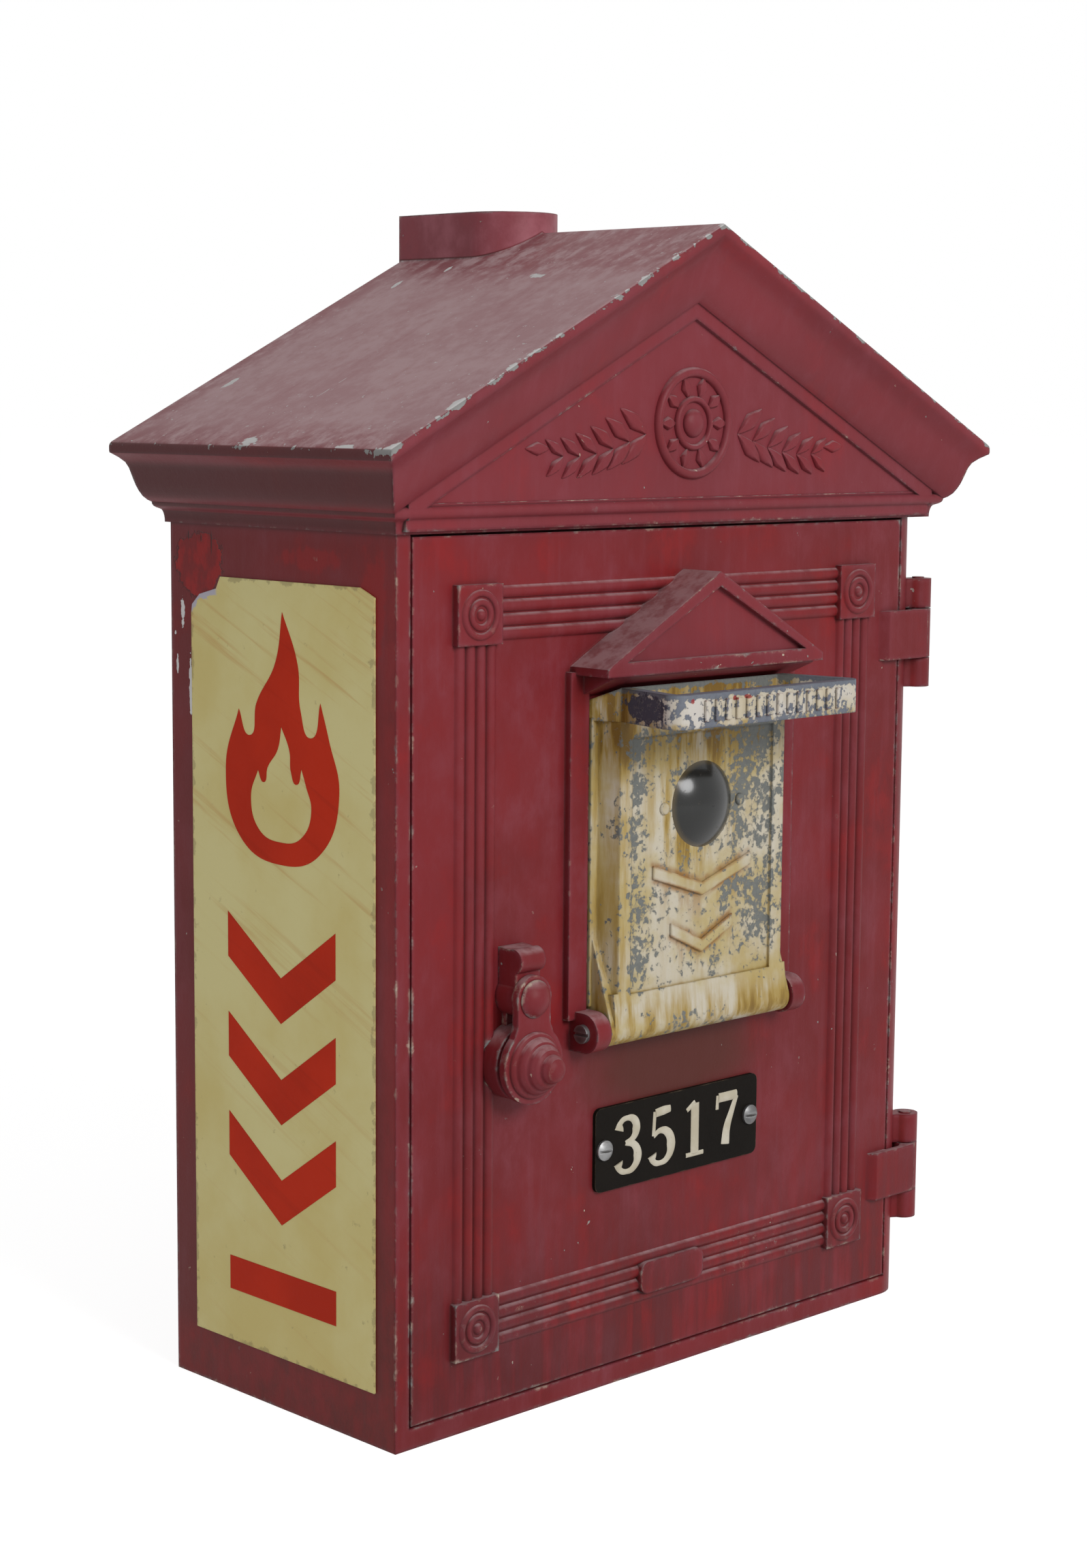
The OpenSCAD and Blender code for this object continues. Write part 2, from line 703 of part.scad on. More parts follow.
module ear(s) {
  difference() {
    union() {
      x0 = min(s * ear_in, s * ear_out);
      rod_x(out(pivot_out), pivot_z, x0, x0 + ear_t, ear_r);
      box([x0, out(pivot_out), pivot_z - ear_r], [x0 + ear_t, front + bite, pivot_z + ear_r]);
    }
    rod_x(out(pivot_out), pivot_z, -ear_out - bite, ear_out + bite, pivot_r + seat);
  }
}
module strap(z) {
  difference() {
    union() {
      rod_z(hinge_x, hinge_y, z - door_knuckle_h / 2, z + door_knuckle_h / 2, knuckle_r);
      translate([0, 0, z - door_knuckle_h / 2]) linear_extrude(door_knuckle_h)
        polygon([[hinge_x - strap_reach - 3, front + bite], [hinge_x - strap_reach - 3, front],
          [hinge_x - strap_reach, out(strap_t)], [hinge_x - 1, out(strap_t)], [hinge_x - 1, hinge_y],
          [hinge_x - knuckle_r - 1.5, hinge_y - knuckle_r * 0.55], [hinge_x - knuckle_r - 3, out(0.6)],
          [door_x1 - 0.5, out(0.6)], [door_x1 - 0.5, front + bite]]);
    }
    rod_z(hinge_x, hinge_y, z - door_knuckle_h / 2 - bite, z + door_knuckle_h / 2 + bite, door_pin_r);
  }
}
screw_hole_r = 1.6;
plate_screw_depth = 5;
plate_screw_x = plate_w / 2 - plate_screw_in;
plate_screw_xs = [-plate_screw_x, plate_screw_x];
module door() color(red) {
  difference() {
    union() {
      box([door_x0, front, door_z0], [door_x1, door_back, door_z1]);
      for (s = [-1, 1]) {
        reeds_z(band_mid + s * band_x, band_low, band_hi);
        for (z = [band_low, band_hi]) corner_block(band_mid + s * band_x, z);
        x0 = min(s * frame_in, s * (frame_in + frame_bar));
        box([x0, out(frame_rise), pivot_z + ear_r - 3], [x0 + frame_bar, front + bite, hood_z0 + bite]);
      }
      for (z = [band_low, band_hi]) reeds_x(z, band_mid - band_x, band_mid + band_x);
      cartouche();
      hood();
    }
    box([-hand_w / 2, front - frame_rise, hand_z0], [hand_w / 2, door_back + bite, hand_z1]);
    slab_y(out(reed_rise + bite), front) lock_foot(seat);
    rod_y(lock_x, lock_z, front - bite, door_back + bite, plug_r + plug_fit);
    at_corners(plate_screw_xs, [plate_z])
      rod_y(0, 0, front - bite, front + plate_screw_depth, screw_hole_r + seat);
    at_corners(lock_screw_xs, lock_screw_zs)
      rod_y(0, 0, door_back - lock_screw, door_back + bite, screw_hole_r + seat);
  }
  for (s = [-1, 1]) ear(s);
  for (z = hinge_zs) strap(z);
}

panel_foot = 5;
// Pull door: a hollow pan with a rolled lower edge and a cast bail handle
module pan_plan(w_back, w_front, d0, d1)
  polygon([[-w_back / 2, out(d0)], [w_back / 2, out(d0)], [w_front / 2, out(d1)], [-w_front / 2, out(d1)]]);
// Plan of a bail with rounded bends: half widths at its root and front, and its start and reach
handle_bend = 6;
module bail_plan(root, tip, start, reach, bend) {
  len = norm([tip - root, reach - start]);
  across = (tip - root) / len;
  along = (reach - start) / len;
  run = (reach - bend - start - bend * across) / along;
  side = root + run * across;
  middle = side - bend * along;
  polygon([[-root, out(start)], [root, out(start)], [side, out(start + run * along)], [middle, out(reach)],
    [-middle, out(reach)], [-side, out(start + run * along)]]);
  for (s = [-1, 1]) translate([s * middle, out(reach - bend)]) circle(bend);
}
module handle_plan() {
  r = handle_root_w / 2;
  w = handle_w / 2;
  t = handle_t;
  difference() {
    bail_plan(r, w, pull_out - 1, handle_out, handle_bend);
    bail_plan(r - t, w - t * 1.1, pull_out - 1 - bite, handle_out - t, max(1, handle_bend - t));
  }
}
gusset_t = 5;
gusset_h = 34;
module gusset(s) {
  x = s * (roll_w - gusset_t) / 2;
  slab_x(x - gusset_t / 2, x + gusset_t / 2) polygon([[out(pan_back), pivot_z],
    [out(pan_back), pivot_z + gusset_h], [out(pull_back + flange_t), pivot_z + gusset_h],
    [out(pivot_out + roll_r * 0.95), pivot_z + roll_r * 0.3], [out(pivot_out), pivot_z]]);
}
module pull_door() color(cream) difference() {
  union() {
    translate([0, 0, pull_low]) linear_extrude(handle_z0 - pull_low + bite)
      pan_plan(tub_w, pull_w, pan_back, pull_out);
    box([-flange_half, out(pull_back + flange_t), pivot_z + ear_r + ear_gap],
      [flange_half, out(pull_back), handle_z0 + bite]);
    intersection() {
      translate([0, 0, handle_z0]) linear_extrude(handle_h)
        pan_plan(pull_flange_w, pull_w, pan_back, pull_out);
      slab_x(-pull_flange_w, pull_flange_w) polygon([[out(0), handle_z0 - bite],
        [out(pull_out + bite), handle_z0 - bite],
        [out(pull_out + bite), pull_top], [out(pull_out), pull_top],
        [out(0), pull_top - pull_fall]]);
    }
    translate([0, 0, handle_z0]) linear_extrude(handle_h) handle_plan();
    rod_x(out(pivot_out), pivot_z, -roll_w / 2, roll_w / 2, roll_r);
    for (s = [-1, 1]) gusset(s);
    slab_x(-tub_w / 2, tub_w / 2) polygon([[out(pan_back), pivot_z + 4], [out(pan_back), pull_low + 4],
      [out(pull_out), pull_low + 6], [out(pull_out + 0.6), pull_low + 1], [out(pivot_out + roll_r), pivot_z],
      [out(pivot_out), pivot_z]]);
  }
  translate([0, 0, hand_z0 - 2]) linear_extrude(hand_z1 - hand_z0 + 4)
    pan_plan(tub_w - 2 * pull_wall, pull_w - 2 * pull_wall, pull_back - bite, pull_out - pull_wall);
  box([-pull_w / 2 + panel_rim, out(pull_out + bite), pull_low + panel_foot],
    [pull_w / 2 - panel_rim, out(pull_out - panel_sink), handle_z0 - panel_rim]);
  rod_y(0, pivot_z + lens_up, out(pull_out + bite), front + bite, neck_r + seat);
  for (s = [-1, 1]) rod_y(s * rivet_x, pivot_z + lens_up, out(pull_out + bite), front, rivet_r + seat);
  rod_x(out(pivot_out), pivot_z, -roll_w, roll_w, pivot_r + run_fit);
  rod_x(out(pivot_out), pivot_z, -spring_half, spring_half, spring_room);
  box([-spring_half, out(pivot_out), pivot_z - spring_room],
    [spring_half, front + bite, pivot_z + spring_room]);
}
pivot_head_r = 3.5;
pivot_head = 1.8;
module pull_door_pin() color(steel) {
  rod_x(out(pivot_out), pivot_z, -ear_out - 0.5, ear_out, pivot_r);
  difference() {
    rod_x(out(pivot_out), pivot_z, -ear_out - pivot_head, -ear_out, pivot_head_r);
    box([-ear_out - pivot_head - bite, out(pivot_out + pivot_head_r + bite), pivot_z - 0.6],
      [-ear_out - pivot_head * 0.55, out(pivot_out - pivot_head_r - bite), pivot_z + 0.6]);
  }
}
spring_wire = 0.6;
spring_curls = 14;
spring_rise = (2 * spring_half - 4) / spring_curls;
module pull_door_spring() color(steel)
  translate([-spring_half + 2, out(pivot_out), pivot_z]) rotate([0, 90, 0])
    coil(pivot_r + spring_wire + 0.4, spring_wire, spring_rise, spring_curls);

// Lens with its clamp ring behind the panel
rivet_x = 21;
rivet_r = 1.4;
ring_t = 2.4;
ring_r = 25;
ring_back = pull_out - pull_wall - ring_t;
panel_out = pull_out - panel_sink;
module lens() color(dark, 0.85) {
  ball_r = (lens_r * lens_r + lens_rise * lens_rise) / (2 * lens_rise);
  turned_y(0, out(panel_out), pivot_z + lens_up) intersection() {
    translate([0, lens_rise - ball_r]) circle(ball_r, $fn = 128);
    square([lens_r + bite, lens_rise + bite]);
  }
  rod_y(0, pivot_z + lens_up, out(panel_out + join), out(ring_back), neck_r);
}
module lens_ring() color(steel) difference() {
  rod_y(0, pivot_z + lens_up, out(pull_out - pull_wall), out(ring_back), ring_r);
  rod_y(0, pivot_z + lens_up, out(pull_out), front, neck_r + seat);
  for (s = [-1, 1]) rod_y(s * rivet_x, pivot_z + lens_up, out(pull_out), front, rivet_r + seat);
}
module lens_rivets() color(steel) for (s = [-1, 1]) {
  turned_y(s * rivet_x, out(panel_out), pivot_z + lens_up) intersection() {
    circle(rivet_r + 0.9);
    square([rivet_r + 0.9, 1.2]);
  }
  rod_y(s * rivet_x, pivot_z + lens_up, out(panel_out + join), out(ring_back), rivet_r);
}

module number_plate() color("black") difference() {
  slab_y(out(plate_t), front) translate([0, plate_z]) round_rect(plate_w, plate_h, 3);
  at_corners(plate_screw_xs, [plate_z])
    rod_y(0, 0, out(plate_t + bite), front + bite, screw_hole_r + seat);
}
module number_plate_screws() color(steel) for (x = plate_screw_xs)
  screw_y(x, plate_z, out(plate_t), 3.9, 2.4, screw_hole_r, plate_t + plate_screw_depth - end_gap, 0.9);

// Lock: the boss on the door carries the key plug and the swinging cover
lug_half = 6;
lug_h = 9;
lug_nose = 4.5;
lug_out = cover_back + 2.5;
cover_pin_r = 2.5;
lug_z = cover_z + arm_r + 0.6;
foot_t = 2.5;
foot_half = 4;
// Foot of the lock boss on the door, grown by a clearance
module lock_foot(grow) {
  translate([lock_x, lock_z]) circle(boss_r_lock + grow);
  translate([lock_x, cover_z]) circle(pivot_boss_r + grow);
  translate([lock_x - foot_half - grow, lock_z]) square([2 * (foot_half + grow), cover_up]);
  translate([lock_x - lug_half - grow, cover_z])
    square([2 * (lug_half + grow), lug_z + lug_h + grow - cover_z]);
}
module lock_boss() color(red) difference() {
  union() {
    rod_y(lock_x, lock_z, out(lock_boss_h), front, boss_r_lock);
    rod_y(lock_x, cover_z, out(cover_back - cover_gap), front, pivot_boss_r);
    box([lock_x - foot_half, out(foot_t), lock_z], [lock_x + foot_half, front, cover_z]);
    box([lock_x - lug_half, out(cover_back - cover_gap), cover_z], [lock_x + lug_half, front, lug_z + bite]);
    slab_x(lock_x - lug_half, lock_x + lug_half) {
      polygon([[front, lug_z], [out(lug_out - lug_nose), lug_z], [out(lug_out), lug_z + lug_nose],
        [out(cover_back - 2), lug_z + lug_h - 0.6], [out(2), lug_z + lug_h], [front, lug_z + lug_h]]);
      translate([out(lug_out - lug_nose), lug_z + lug_nose]) circle(lug_nose);
    }
  }
  rod_y(lock_x, lock_z, out(lock_boss_h + bite), front + bite, plug_r + plug_fit);
  rod_y(lock_x, cover_z, out(cover_back), out(pin_floor), cover_pin_r + seat);
}
pin_floor = 2;
dome = [[12.2, 0.8], [11.6, 1.6], [10.6, 2], [10.2, 3.4], [9.2, 4.8], [8.4, 5.2], [8, 6.6], [6.8, 8.2],
  [5.4, 9], [5.2, 10.2], [4.2, 12], [2.4, 13], [0, 13.4]];
module keyhole_cover() color(red) difference() {
  union() {
    slab_y(out(cover_front), out(cover_back)) translate([lock_x, lock_z]) {
      circle(cover_r);
      translate([0, cover_up]) circle(arm_r);
      for (s = [-1, 1]) polygon([[0, cover_r * 0.36], [s * cover_r * 0.93, cover_r * 0.36],
        [s * arm_r * 1.16, cover_up * 0.43], [s * arm_r * 0.96, cover_up * 0.6],
        [s * arm_r * 0.95, cover_up + 2], [0, cover_up + 2]]);
    }
    turned_y(lock_x, out(cover_front) + bite, lock_z)
      polygon(concat([[0, 0], [dome[0][0], 0]], [for (d = dome) [d[0], d[1] + bite]]));
  }
  rod_y(lock_x, cover_z, out(cover_front + bite), out(cover_back - bite), cover_pin_r + run_fit);
}
stud_r = 7;
stud_h = 4.5;
stud_ball = 8;
module keyhole_cover_pin() color(steel) {
  turned_y(lock_x, out(cover_front + 0.2), cover_z) intersection() {
    translate([0, stud_h - stud_ball]) circle(stud_ball);
    square([stud_r, stud_h]);
  }
  rod_y(lock_x, cover_z, out(cover_front + 0.2 + join), out(pin_floor + end_gap), cover_pin_r);
}
module lock_plug() color(brass) {
  difference() {
    rod_y(lock_x, lock_z, out(lock_boss_h - 1), crank_y + join, plug_r);
    box([lock_x - 1, out(lock_boss_h), lock_z - plug_r * 0.75], [lock_x + 1, front, lock_z + plug_r * 0.75]);
  }
  rod_y(lock_x, lock_z, crank_y, crank_y + crank_t, crank_disc_r);
  rod_y(lock_x + bolt_throw / 2, lock_z + bolt_throw / 2, crank_y, bolt_y0 + bolt_t - 0.5, crank_pin_r);
}
lock_z0 = lock_z - lock_half;
lock_z1 = lock_z + lock_half + 4;
lock_screw = 4;
lock_screw_in = 5;
lock_screw_xs = [lock_x - lock_half + lock_screw_in, lock_x + lock_half - lock_screw_in];
lock_screw_zs = [lock_z0 + lock_screw_in, lock_z1 - lock_screw_in];
bolt_z0 = lock_z - 1;
bolt_fit = 0.4;
module lock_case() color(steel) difference() {
  box([lock_x - lock_half, lock_y0, lock_z0], [lock_x + lock_half, lock_y1, lock_z1]);
  box([lock_x - lock_half + 2 * lock_screw_in, lock_y0 + lock_wall, lock_z0 + lock_wall],
    [lock_x + lock_half - 2 * lock_screw_in, lock_y1 - lock_wall, lock_z1 - lock_wall]);
  rod_y(lock_x, lock_z, lock_y0 - bite, lock_y0 + lock_wall + bite, plug_r + plug_fit);
  box([lock_x - lock_half - bite, bolt_y0 - bolt_fit, bolt_z0 - bolt_fit],
    [lock_x, bolt_y0 + bolt_t + bolt_fit, bolt_z0 + bolt_h + bolt_fit]);
  at_corners(lock_screw_xs, lock_screw_zs) rod_y(0, 0, lock_y0 - bite, lock_y1 + bite, screw_hole_r + seat);
}
module lock_case_screws() color(steel) for (x = lock_screw_xs, z = lock_screw_zs) mirror([0, 1, 0])
  screw_y(x, z, -lock_y1, 3, 1.8, screw_hole_r, lock_deep + lock_screw - end_gap, 0.8);
module lock_bolt() color(brass) difference() {
  w = crank_pin_r + 0.9;
  box([bolt_tip, bolt_y0, bolt_z0], [lock_x + bolt_throw / 2 + w + 2, bolt_y0 + bolt_t, bolt_z0 + bolt_h]);
  box([lock_x + bolt_throw / 2 - w, bolt_y0 - bite, lock_z + bolt_throw / 2 - w],
    [lock_x + bolt_throw / 2 + w, bolt_y0 + bolt_t + bite, lock_z + crank_r + w]);
}
keeper_y0 = door_back + stop_gap + stop_t;
keeper_y1 = bolt_y0 + bolt_t + keeper_wall;
keeper_y = (keeper_y0 + keeper_y1) / 2;
keeper_zs = [bolt_z0 - 7, bolt_z0 + bolt_h + 7];
module lock_keeper() color(steel) difference() {
  box([-inside_x, keeper_y0, bolt_z0 - 12], [keeper_x1, keeper_y1, bolt_z0 + bolt_h + 12]);
  box([-inside_x + 2, bolt_y0 - bite, bolt_z0 - bite],
    [keeper_x1 + bite, bolt_y0 + bolt_t + bite, bolt_z0 + bolt_h + bite]);
  for (z = keeper_zs) rod_x(keeper_y, z, -inside_x - bite, keeper_x1 + bite, keeper_screw_r + seat);
}

// Torn upper corner at the back, as steps from the corner the sheet once had
sign_tear = [[0, -14], [-0.5, -11], [-5, -7], [-15, -4.5], [-17.5, 0]];
module side_sign() color("moccasin") slab_x(-half_w - sign_t, -half_w) {
  y0 = front + sign_in;
  y1 = y0 + sign_w;
  z1 = case_h - sign_top;
  polygon(concat([[y0, sign_z], [y1, sign_z]], [for (p = sign_tear) [y1 + p[0], z1 + p[1]]],
    [[y0 + sign_clip, z1], [y0, z1 - sign_clip * 0.4]]));
}

// Movement frame
tap_r = 1.6;
tap_depth = 10;
module movement_posts() color(steel) for (x = [-pillar_x, pillar_x], z = pillar_z) {
  rod_y(x, z, inside_back - post_len, inside_back, post_r);
  rod_y(x, z, inside_back - join, inside_back + post_stud - end_gap, post_stud_r);
}
frame_clip = 6;
module plate_outline() {
  w = frame_w / 2;
  c = frame_clip;
  polygon([[-w, frame_z0 + c], [-w + c, frame_z0], [w - c, frame_z0], [w, frame_z0 + c], [w, frame_z1 - c],
    [w - c, frame_z1], [-w + c, frame_z1], [-w, frame_z1 - c]]);
}
module arbor_holes(y0, y1) {
  rod_y(main_x, main_z, y0, y1, arbor_r + run_fit);
  rod_y(second_x, second_z, y0, y1, second_arbor_r + run_fit);
  rod_y(fan_x, fan_z, y0, y1, fan_arbor_r + run_fit);
}
module movement_back_plate() color(brass) difference() {
  slab_y(back_plate_y, back_plate_y + frame_t) plate_outline();
  arbor_holes(back_plate_y - bite, back_plate_y + frame_t + bite);
}
module movement_pillars() color(brass) for (x = [-pillar_x, pillar_x], z = pillar_z) difference() {
  rod_y(x, z, plate_back_y, back_plate_y, post_r);
  rod_y(x, z, plate_back_y - bite, plate_back_y + tap_depth, tap_r + seat);
}
module movement_front_plate() color(brass) {
  difference() {
    union() {
      slab_y(plate_y, plate_back_y) plate_outline();
      rod_y(lever_x, lever_z, code_y + bush_gap, plate_y + bite, bush_r);
    }
    rod_y(lever_x, lever_z, code_y, plate_back_y + bite, arbor_r + run_fit);
    arbor_holes(plate_y - bite, plate_back_y + bite);
    at_corners([-pillar_x, pillar_x], pillar_z)
      rod_y(0, 0, plate_y - bite, plate_back_y + bite, tap_r + seat);
    rod_y(hammer_pivot_x, armature_z, plate_y - bite, plate_back_y + bite, foot_r + seat);
    rod_y(gong_x, gong_z, plate_y - bite, plate_back_y + bite, foot_r + seat);
  }
  box([tail_x - spring_lug_half, lever_y - spring_lug_over, spring_lug_z],
    [tail_x + spring_lug_half, plate_y + bite, spring_lug_z + lug_t]);
}
module front_plate_screws() color(steel) for (x = [-pillar_x, pillar_x], z = pillar_z)
  screw_y(x, z, plate_y, 4, 2.4, tap_r, frame_t + tap_depth - end_gap);

// Pull lever with its arbor, sector and spring
module pull_lever() color(red) difference() {
  union() {
    rod_y(lever_x, lever_z, lever_y - 3, code_y, arbor_r + 5);
    translate([lever_x, 0, lever_z]) rotate([0, -lever_rest, 0]) {
      slab_y(lever_y, lever_y + lever_t) {
        polygon([[-tail_len, -tail_half], [-waist, -tail_half], [0, -waist], [lever_len, -grip_r],
          [lever_len, grip_r], [0, waist], [-waist, tail_half], [-tail_len, tail_half]]);
        translate([lever_len, 0]) circle(grip_r + 2);
        translate([-tail_len, 0]) circle(pad_r);
      }
      rod_y(lever_len, 0, grip_front, lever_y + 1, grip_r);
      rod_y(lever_len, 0, grip_front, grip_front + 4, grip_r + 2.5);
    }
  }
  rod_y(lever_x, lever_z, lever_y - 4, code_y + bite, arbor_r + seat);
}
module lever_arbor() color(steel)
  rod_y(lever_x, lever_z, lever_y - 4, layer_1 + wheel_t + 0.5, arbor_r);
module lever_sector() color(brass) difference() {
  translate([lever_x, 0, lever_z]) slab_y(layer_1, layer_1 + wheel_t) {
    intersection() {
      rotate(-90) polygon(gear_outline(sector_teeth, tooth_1));
      polygon([[0, 0], polar(40, -118), polar(48, -78), polar(48, -34), polar(40, 6)]);
    }
    circle(arbor_r + 5);
  }
  rod_y(lever_x, lever_z, layer_1 - bite, layer_1 + wheel_t + bite, arbor_r + seat);
}
lever_wire = 0.5;
lever_coil_r = 3.4;
lever_curls = 12;
lever_spring_z0 = tail_z + pad_r + lever_wire + 0.3;
lever_spring_z1 = spring_lug_z - lever_wire - 0.3;
module lever_spring() color(steel) translate([tail_x, lever_y + lever_t / 2, lever_spring_z0])
  coil(lever_coil_r, lever_wire, (lever_spring_z1 - lever_spring_z0) / lever_curls, lever_curls);

// Winding arbor, main wheel and spring barrel
module main_arbor() color(steel) rod_y(main_x, main_z, plate_y - 1, arbor_end, arbor_r);
module winding_pinion() color(steel)
  gear(winder_teeth, tooth_1, main_x, main_z, layer_1, layer_1 + wheel_t, 90 + 180 / winder_teeth,
    arbor_r + seat);
module main_wheel() color(brass) difference() {
  gear(main_teeth, tooth_1, main_x, main_z, layer_2, layer_2 + wheel_t, 0, arbor_r + run_fit);
  for (k = [0 : 4]) translate([main_x, 0, main_z]) rotate([0, k * 72, 0])
    rod_y(17, 0, layer_2 - bite, layer_2 + wheel_t + bite, 5);
}
module spring_barrel() color(brass) difference() {
  union() {
    rod_y(main_x, main_z, barrel_y, barrel_y + barrel_len, barrel_r);
    rod_y(main_x, main_z, layer_2 + wheel_t, barrel_y + bite, arbor_r + 5);
  }
  rod_y(main_x, main_z, barrel_y + barrel_wall, barrel_y + barrel_len - barrel_wall, barrel_r - barrel_wall);
  rod_y(main_x, main_z, layer_2, barrel_y + barrel_len + bite, arbor_r + run_fit);
}
spiral_turns = 5;
spiral_in = 9;
spiral_out = barrel_r - barrel_wall - 0.5;
strip_t = 0.8;
function spiral(r0, r1) = [for (a = [0 : 15 : spiral_turns * 360])
  polar(r0 + (r1 - r0) * a / (spiral_turns * 360), a)];
function backward(list) = [for (i = [len(list) - 1 : -1 : 0]) list[i]];
module mainspring() color(steel) translate([main_x, 0, main_z])
  slab_y(barrel_y + barrel_wall + 0.3, barrel_y + barrel_len - barrel_wall - 0.3)
    polygon(concat(spiral(spiral_in, spiral_out),
      backward(spiral(spiral_in - strip_t, spiral_out - strip_t))));

// Second arbor with the code wheel in front of the plate
module second_arbor() color(steel) rod_y(second_x, second_z, code_y - 1, arbor_end, second_arbor_r);
module second_pinion() color(steel) gear(second_pinion_teeth, tooth_1, second_x, second_z, layer_2 - 0.5,
  layer_2 + wheel_t + 0.5, 180 + 180 / second_pinion_teeth, second_arbor_r + seat);
module second_wheel() color(brass)
  gear(second_teeth, tooth_2, second_x, second_z, layer_1, layer_1 + wheel_t, 0, second_arbor_r + seat);
code_groups = [3, 5, 2, 6];
notch = 7;
module code_wheel() color(brass) difference() {
  rod_y(second_x, second_z, code_y, code_y + code_t, code_r);
  rod_y(second_x, second_z, code_y - bite, code_y + code_t + bite, second_arbor_r + seat);
  for (g = [0 : len(code_groups) - 1], i = [0 : code_groups[g] - 1]) translate([second_x, 0, second_z])
    rotate([0, g * 90 + i * notch * 1.7, 0]) box([code_r - 3, code_y - bite, -code_r * sin(notch / 2)],
      [code_r + bite, code_y + code_t + bite, code_r * sin(notch / 2)]);
}
module governor_arbor() color(steel) rod_y(fan_x, fan_z, plate_y - 1, arbor_end, fan_arbor_r);
module governor_pinion() color(steel) gear(fan_pinion_teeth, tooth_2, fan_x, fan_z, layer_1 - 0.5,
  layer_1 + wheel_t + 0.5, 180 + 180 / fan_pinion_teeth, fan_arbor_r + seat);
fan_r = 13.5;
fan_len = 14;
module governor_fan() color("silver") difference() {
  union() {
    rod_y(fan_x, fan_z, layer_2, layer_2 + fan_len, fan_arbor_r + 2);
    box([fan_x - fan_r, layer_2, fan_z - 0.5], [fan_x + fan_r, layer_2 + fan_len, fan_z + 0.5]);
  }
  rod_y(fan_x, fan_z, layer_2 - bite, layer_2 + fan_len + bite, fan_arbor_r + seat);
}

// Contacts that ride the code wheel
leaf_y0 = code_y - 2;
leaf_y1 = code_y + code_t;
contact_w = 16;
module contact_leaf(z, x0) box([x0, leaf_y0, z], [contact_x + contact_w - 1, leaf_y1, z + leaf_t]);
leaf_x0 = second_x + code_r * 0.68;
leaf_zs = [contact_z, contact_z + leaf_gap + leaf_t];
module contact_block() color("saddlebrown") difference() {
  box([contact_x, leaf_y0 - 2, contact_z - 8],
    [contact_x + contact_w, plate_y, contact_z + leaf_gap * 2 + 2]);
  for (z = leaf_zs) box([contact_x - bite, leaf_y0 - seat, z - seat],
    [contact_x + contact_w - 1 + seat, leaf_y1 + seat, z + leaf_t + seat]);
}
module contact_springs() color("peru") for (i = [0, 1]) contact_leaf(leaf_zs[i], leaf_x0 + i * 3);

// Bell magnet, hammer and gong
module magnet_yoke() color(steel) {
  box([magnet_x[0] - coil_r, magnet_y - 5, yoke_z], [magnet_x[1] + coil_r, plate_y, yoke_z + yoke_h]);
  for (x = magnet_x) rod_z(x, magnet_y, yoke_z + yoke_h - join, pole_z, core_r);
}
module magnet_coils() color("darkgreen") for (x = magnet_x) difference() {
  union() {
    rod_z(x, magnet_y, yoke_z + yoke_h, yoke_z + yoke_h + coil_len, coil_r - 1);
    for (z = [0, coil_len - 2]) rod_z(x, magnet_y, yoke_z + yoke_h + z, yoke_z + yoke_h + z + 2, coil_r);
  }
  rod_z(x, magnet_y, yoke_z, pole_z, core_r + seat);
}
hammer_post_r = 2;
hammer_y0 = magnet_y - 4;
hammer_y1 = magnet_y + 4;
module hammer_post() color(steel) {
  rod_y(hammer_pivot_x, armature_z, hammer_y0 - 1.5, plate_y - join, hammer_post_r);
  rod_y(hammer_pivot_x, armature_z, plate_y - 2, plate_back_y, foot_r);
}
module bell_hammer() color(steel) difference() {
  union() {
    rod_y(hammer_pivot_x, armature_z, hammer_y0, hammer_y1, hammer_post_r + 2.5);
    box([hammer_pivot_x, hammer_y0, armature_z - armature_t / 2],
      [hammer_x + 3, hammer_y1, armature_z + armature_t / 2]);
    rod_z(hammer_x, magnet_y, armature_z, hammer_z, 1.2);
    translate([hammer_x, magnet_y, hammer_z]) sphere(3.5);
  }
  rod_y(hammer_pivot_x, armature_z, hammer_y0 - bite, hammer_y1 + bite, hammer_post_r + run_fit);
}
module gong() color(steel) turned_y(gong_x, gong_y, gong_z) difference() {
  intersection() {
    translate([0, gong_deep - gong_ball]) circle(gong_ball, $fn = 128);
    translate([foot_r + seat, 0]) square([gong_r, gong_deep + bite]);
  }
  translate([0, gong_deep - gong_ball]) circle(gong_ball - gong_t, $fn = 128);
}
gong_ball = (gong_r * gong_r + gong_deep * gong_deep) / (2 * gong_deep);
module gong_post() color(brass) {
  rod_y(gong_x, gong_z, gong_top - 1, plate_back_y, foot_r);
  rod_y(gong_x, gong_z, gong_top + gong_t + 0.5, plate_y, foot_r + 1.5);
  rod_y(gong_x, gong_z, gong_top - 2.5, gong_top - 0.1, foot_r + 2);
}

